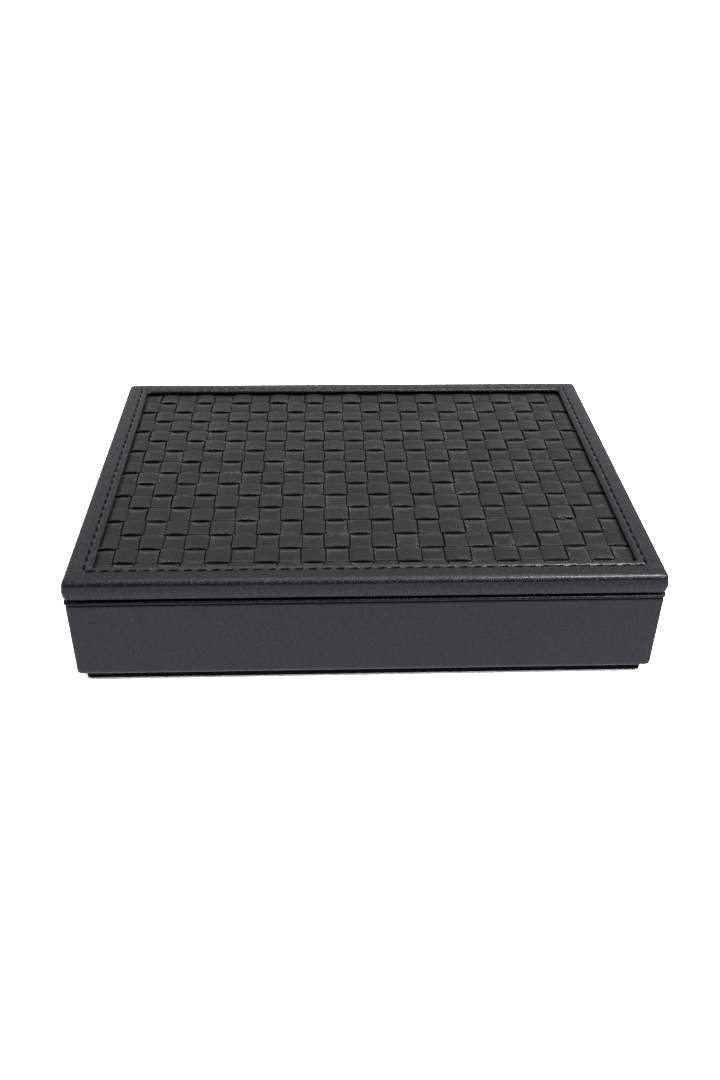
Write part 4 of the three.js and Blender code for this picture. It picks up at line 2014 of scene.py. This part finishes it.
@dataclass
class Boards:
    """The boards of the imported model, which keep their shape and get a board's finish."""

    names: tuple[str, ...] = (
        "base_board",
        "front_wall_board",
        "back_wall_board",
        "left_wall_board",
        "right_wall_board",
        "lid_core_board",
        "lid_edge_filler",
    )

    def dress(self) -> None:
        """Gives every board its material."""
        plain = Fibreboard("pressed_board", 900).build()
        stained = Fibreboard("pressed_board_stained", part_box("lid_core_board")[1].z / MM).build()
        for name in self.names:
            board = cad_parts[name]
            board.data.materials.clear()
            board.data.materials.append(stained if name.startswith("lid") else plain)
            LOG.info("%s: dressed as board", name)


# Studio


@dataclass
class Studio:
    """Camera, floor, lamps and surroundings."""

    focal: float = 33.26
    camera_place: tuple[float, float, float] = (-0.0225, -0.5125, 0.3578)
    yaw: float = 2.58
    pitch: float = 33.975
    roll: float = 0.79
    surround: float = 0.55
    lamp_tint: tuple[float, float, float] = (1, 0.985, 0.96)
    floor_tone: float = 0.8
    floor_seen: float = 9.0
    floor_glow: tuple[float, float, float, float] = (0.93, 0.94, 1, 1)  # where it is mirrored

    def build(self) -> None:
        """Sets up the camera and everything round the box."""
        self.camera()
        self.floor()
        self.surroundings()
        self.card("front_flag", (-3, -1.4, 0), (3, -1.4, 1.6), 0)
        self.card("back_card", (-4, 2.5, 0.75), (4, 2.5, 1.6), 0.33)
        self.card("overhead_scrim", (-4, -1.4, 1.6), (4, 2.5, 1.6), 0.34)
        self.lamp("overhead_softbox", (0.05, 0.25, 1.2), (0.9, 0.9), 4.5)
        self.lamp("right_softbox", (0.57, -0.35, 0.92), (0.6, 0.2), 13)
        bpy.context.scene.view_settings.view_transform = "Standard"

    def camera(self) -> None:
        """The camera at the photograph's place."""
        yaw, pitch, roll = (math.radians(a) for a in (self.yaw, self.pitch, self.roll))
        ahead = Vector((math.sin(yaw) * math.cos(pitch), math.cos(yaw) * math.cos(pitch), -math.sin(pitch)))
        right = Vector((math.cos(yaw), -math.sin(yaw), 0))
        up = right.cross(ahead)
        right_rolled = right * math.cos(roll) + up * math.sin(roll)
        up_rolled = up * math.cos(roll) - right * math.sin(roll)
        data = bpy.data.cameras.new("photo_camera")
        data.lens = self.focal
        data.sensor_width = 36
        data.clip_start = 0.01
        camera = bpy.data.objects.new("photo_camera", data)
        axes = Matrix((right_rolled, up_rolled, -ahead)).transposed().to_4x4()
        camera.matrix_world = Matrix.Translation(self.camera_place) @ axes
        bpy.context.scene.collection.objects.link(camera)
        bpy.context.scene.camera = camera

    def floor(self) -> None:
        """A pale floor that shows white and keeps the box's shadow."""
        Bench.clear()
        bpy.ops.mesh.primitive_plane_add(size=12)
        piece = Bench.named("studio_floor")
        Bench.edit(piece)
        bpy.ops.transform.translate(value=(0, 0, -0.02 * MM))
        Bench.done()
        material, recipe = new_recipe("studio_floor_white")
        seen, glossy, through = recipe.rays("Camera", "Glossy", "Transmission")
        mirrored = glossy + through
        tone = recipe.mix(seen, grey(self.floor_tone), grey(self.floor_seen))
        lit = recipe.node("ShaderNodeBsdfDiffuse", values={"Color": tone})
        glow = recipe.node("ShaderNodeEmission", values={"Color": self.floor_glow, "Strength": 1.05})
        recipe.blend(mirrored, lit, glow, "ShaderNodeOutputMaterial")
        piece.data.materials.append(material)

    def card(self, name: str, low: Sequence[float], high: Sequence[float], glow: float) -> None:
        """A flat card, upright or level, that shapes the light and is not seen.

        Args:
            name: the card's name.
            low: its lowest corner, in metres.
            high: its highest corner, in metres.
            glow: how brightly it shines; at 0 it is black.
        """
        size = Vector(high) - Vector(low)
        Bench.clear()
        bpy.ops.mesh.primitive_plane_add(size=1, rotation=(math.pi / 2 if size.z else 0, 0, 0))
        piece = Bench.named(name)
        bpy.ops.object.transform_apply(location=False, rotation=True, scale=False)
        Bench.edit(piece)
        bpy.ops.transform.resize(value=(size.x, size.y or 1, size.z or 1))
        bpy.ops.transform.translate(value=(Vector(low) + Vector(high)) / 2)
        Bench.done()
        material, recipe = new_recipe(name)
        if glow:
            surface = recipe.node("ShaderNodeEmission", values={"Color": grey(1), "Strength": glow})
        else:
            surface = recipe.node("ShaderNodeBsdfDiffuse", values={"Color": grey(0.01)})
        recipe.node("ShaderNodeOutputMaterial", values={"Surface": surface.outputs[0]})
        piece.data.materials.append(material)
        piece.visible_camera = False

    def surroundings(self) -> None:
        """White where it is seen or mirrored, softer where it lights the box."""
        world = bpy.data.worlds.new("studio_white")
        world.use_nodes = True
        bpy.context.scene.world = world
        recipe = Recipe(world.node_tree)
        seen, glossy, through = recipe.rays("Camera", "Glossy", "Transmission")
        share = seen + glossy + through
        lighting = recipe.node("ShaderNodeBackground", values={"Color": grey(1), "Strength": self.surround})
        white = recipe.node("ShaderNodeBackground", values={"Color": grey(1), "Strength": 1})
        recipe.blend(share, lighting, white, "ShaderNodeOutputWorld")

    def lamp(self, name: str, place: Sequence[float], size: Sequence[float], power: float) -> None:
        """A softbox that hangs level and faces down.

        Args:
            name: the lamp's name.
            place: where it hangs, in metres.
            size: its sides, in metres.
            power: in watts.
        """
        data = bpy.data.lights.new(name, "AREA")
        data.shape = "RECTANGLE"
        data.size, data.size_y = size
        data.energy = power
        data.color = self.lamp_tint
        lamp = bpy.data.objects.new(name, data)
        lamp.location = place
        bpy.context.scene.collection.objects.link(lamp)


def main() -> None:
    """Builds the box piece by piece."""
    logging.basicConfig(level=logging.INFO, format="%(message)s")
    Studio().build()
    wardrobe = Wardrobe()
    lid = Rect.of_node("lid_border_leather")
    opening = lid.grown(-BORDER_SIDE, -BORDER_FRONT, -BORDER_BACK)
    hinges = HingeSet(wardrobe)
    WovenPanel(wardrobe, opening).build()
    LidSkin(wardrobe, opening, hinges).build()
    BodySkin(wardrobe, hinges).build()
    hinges.build()
    Boards().dress()


if __name__ == "__main__":
    main()
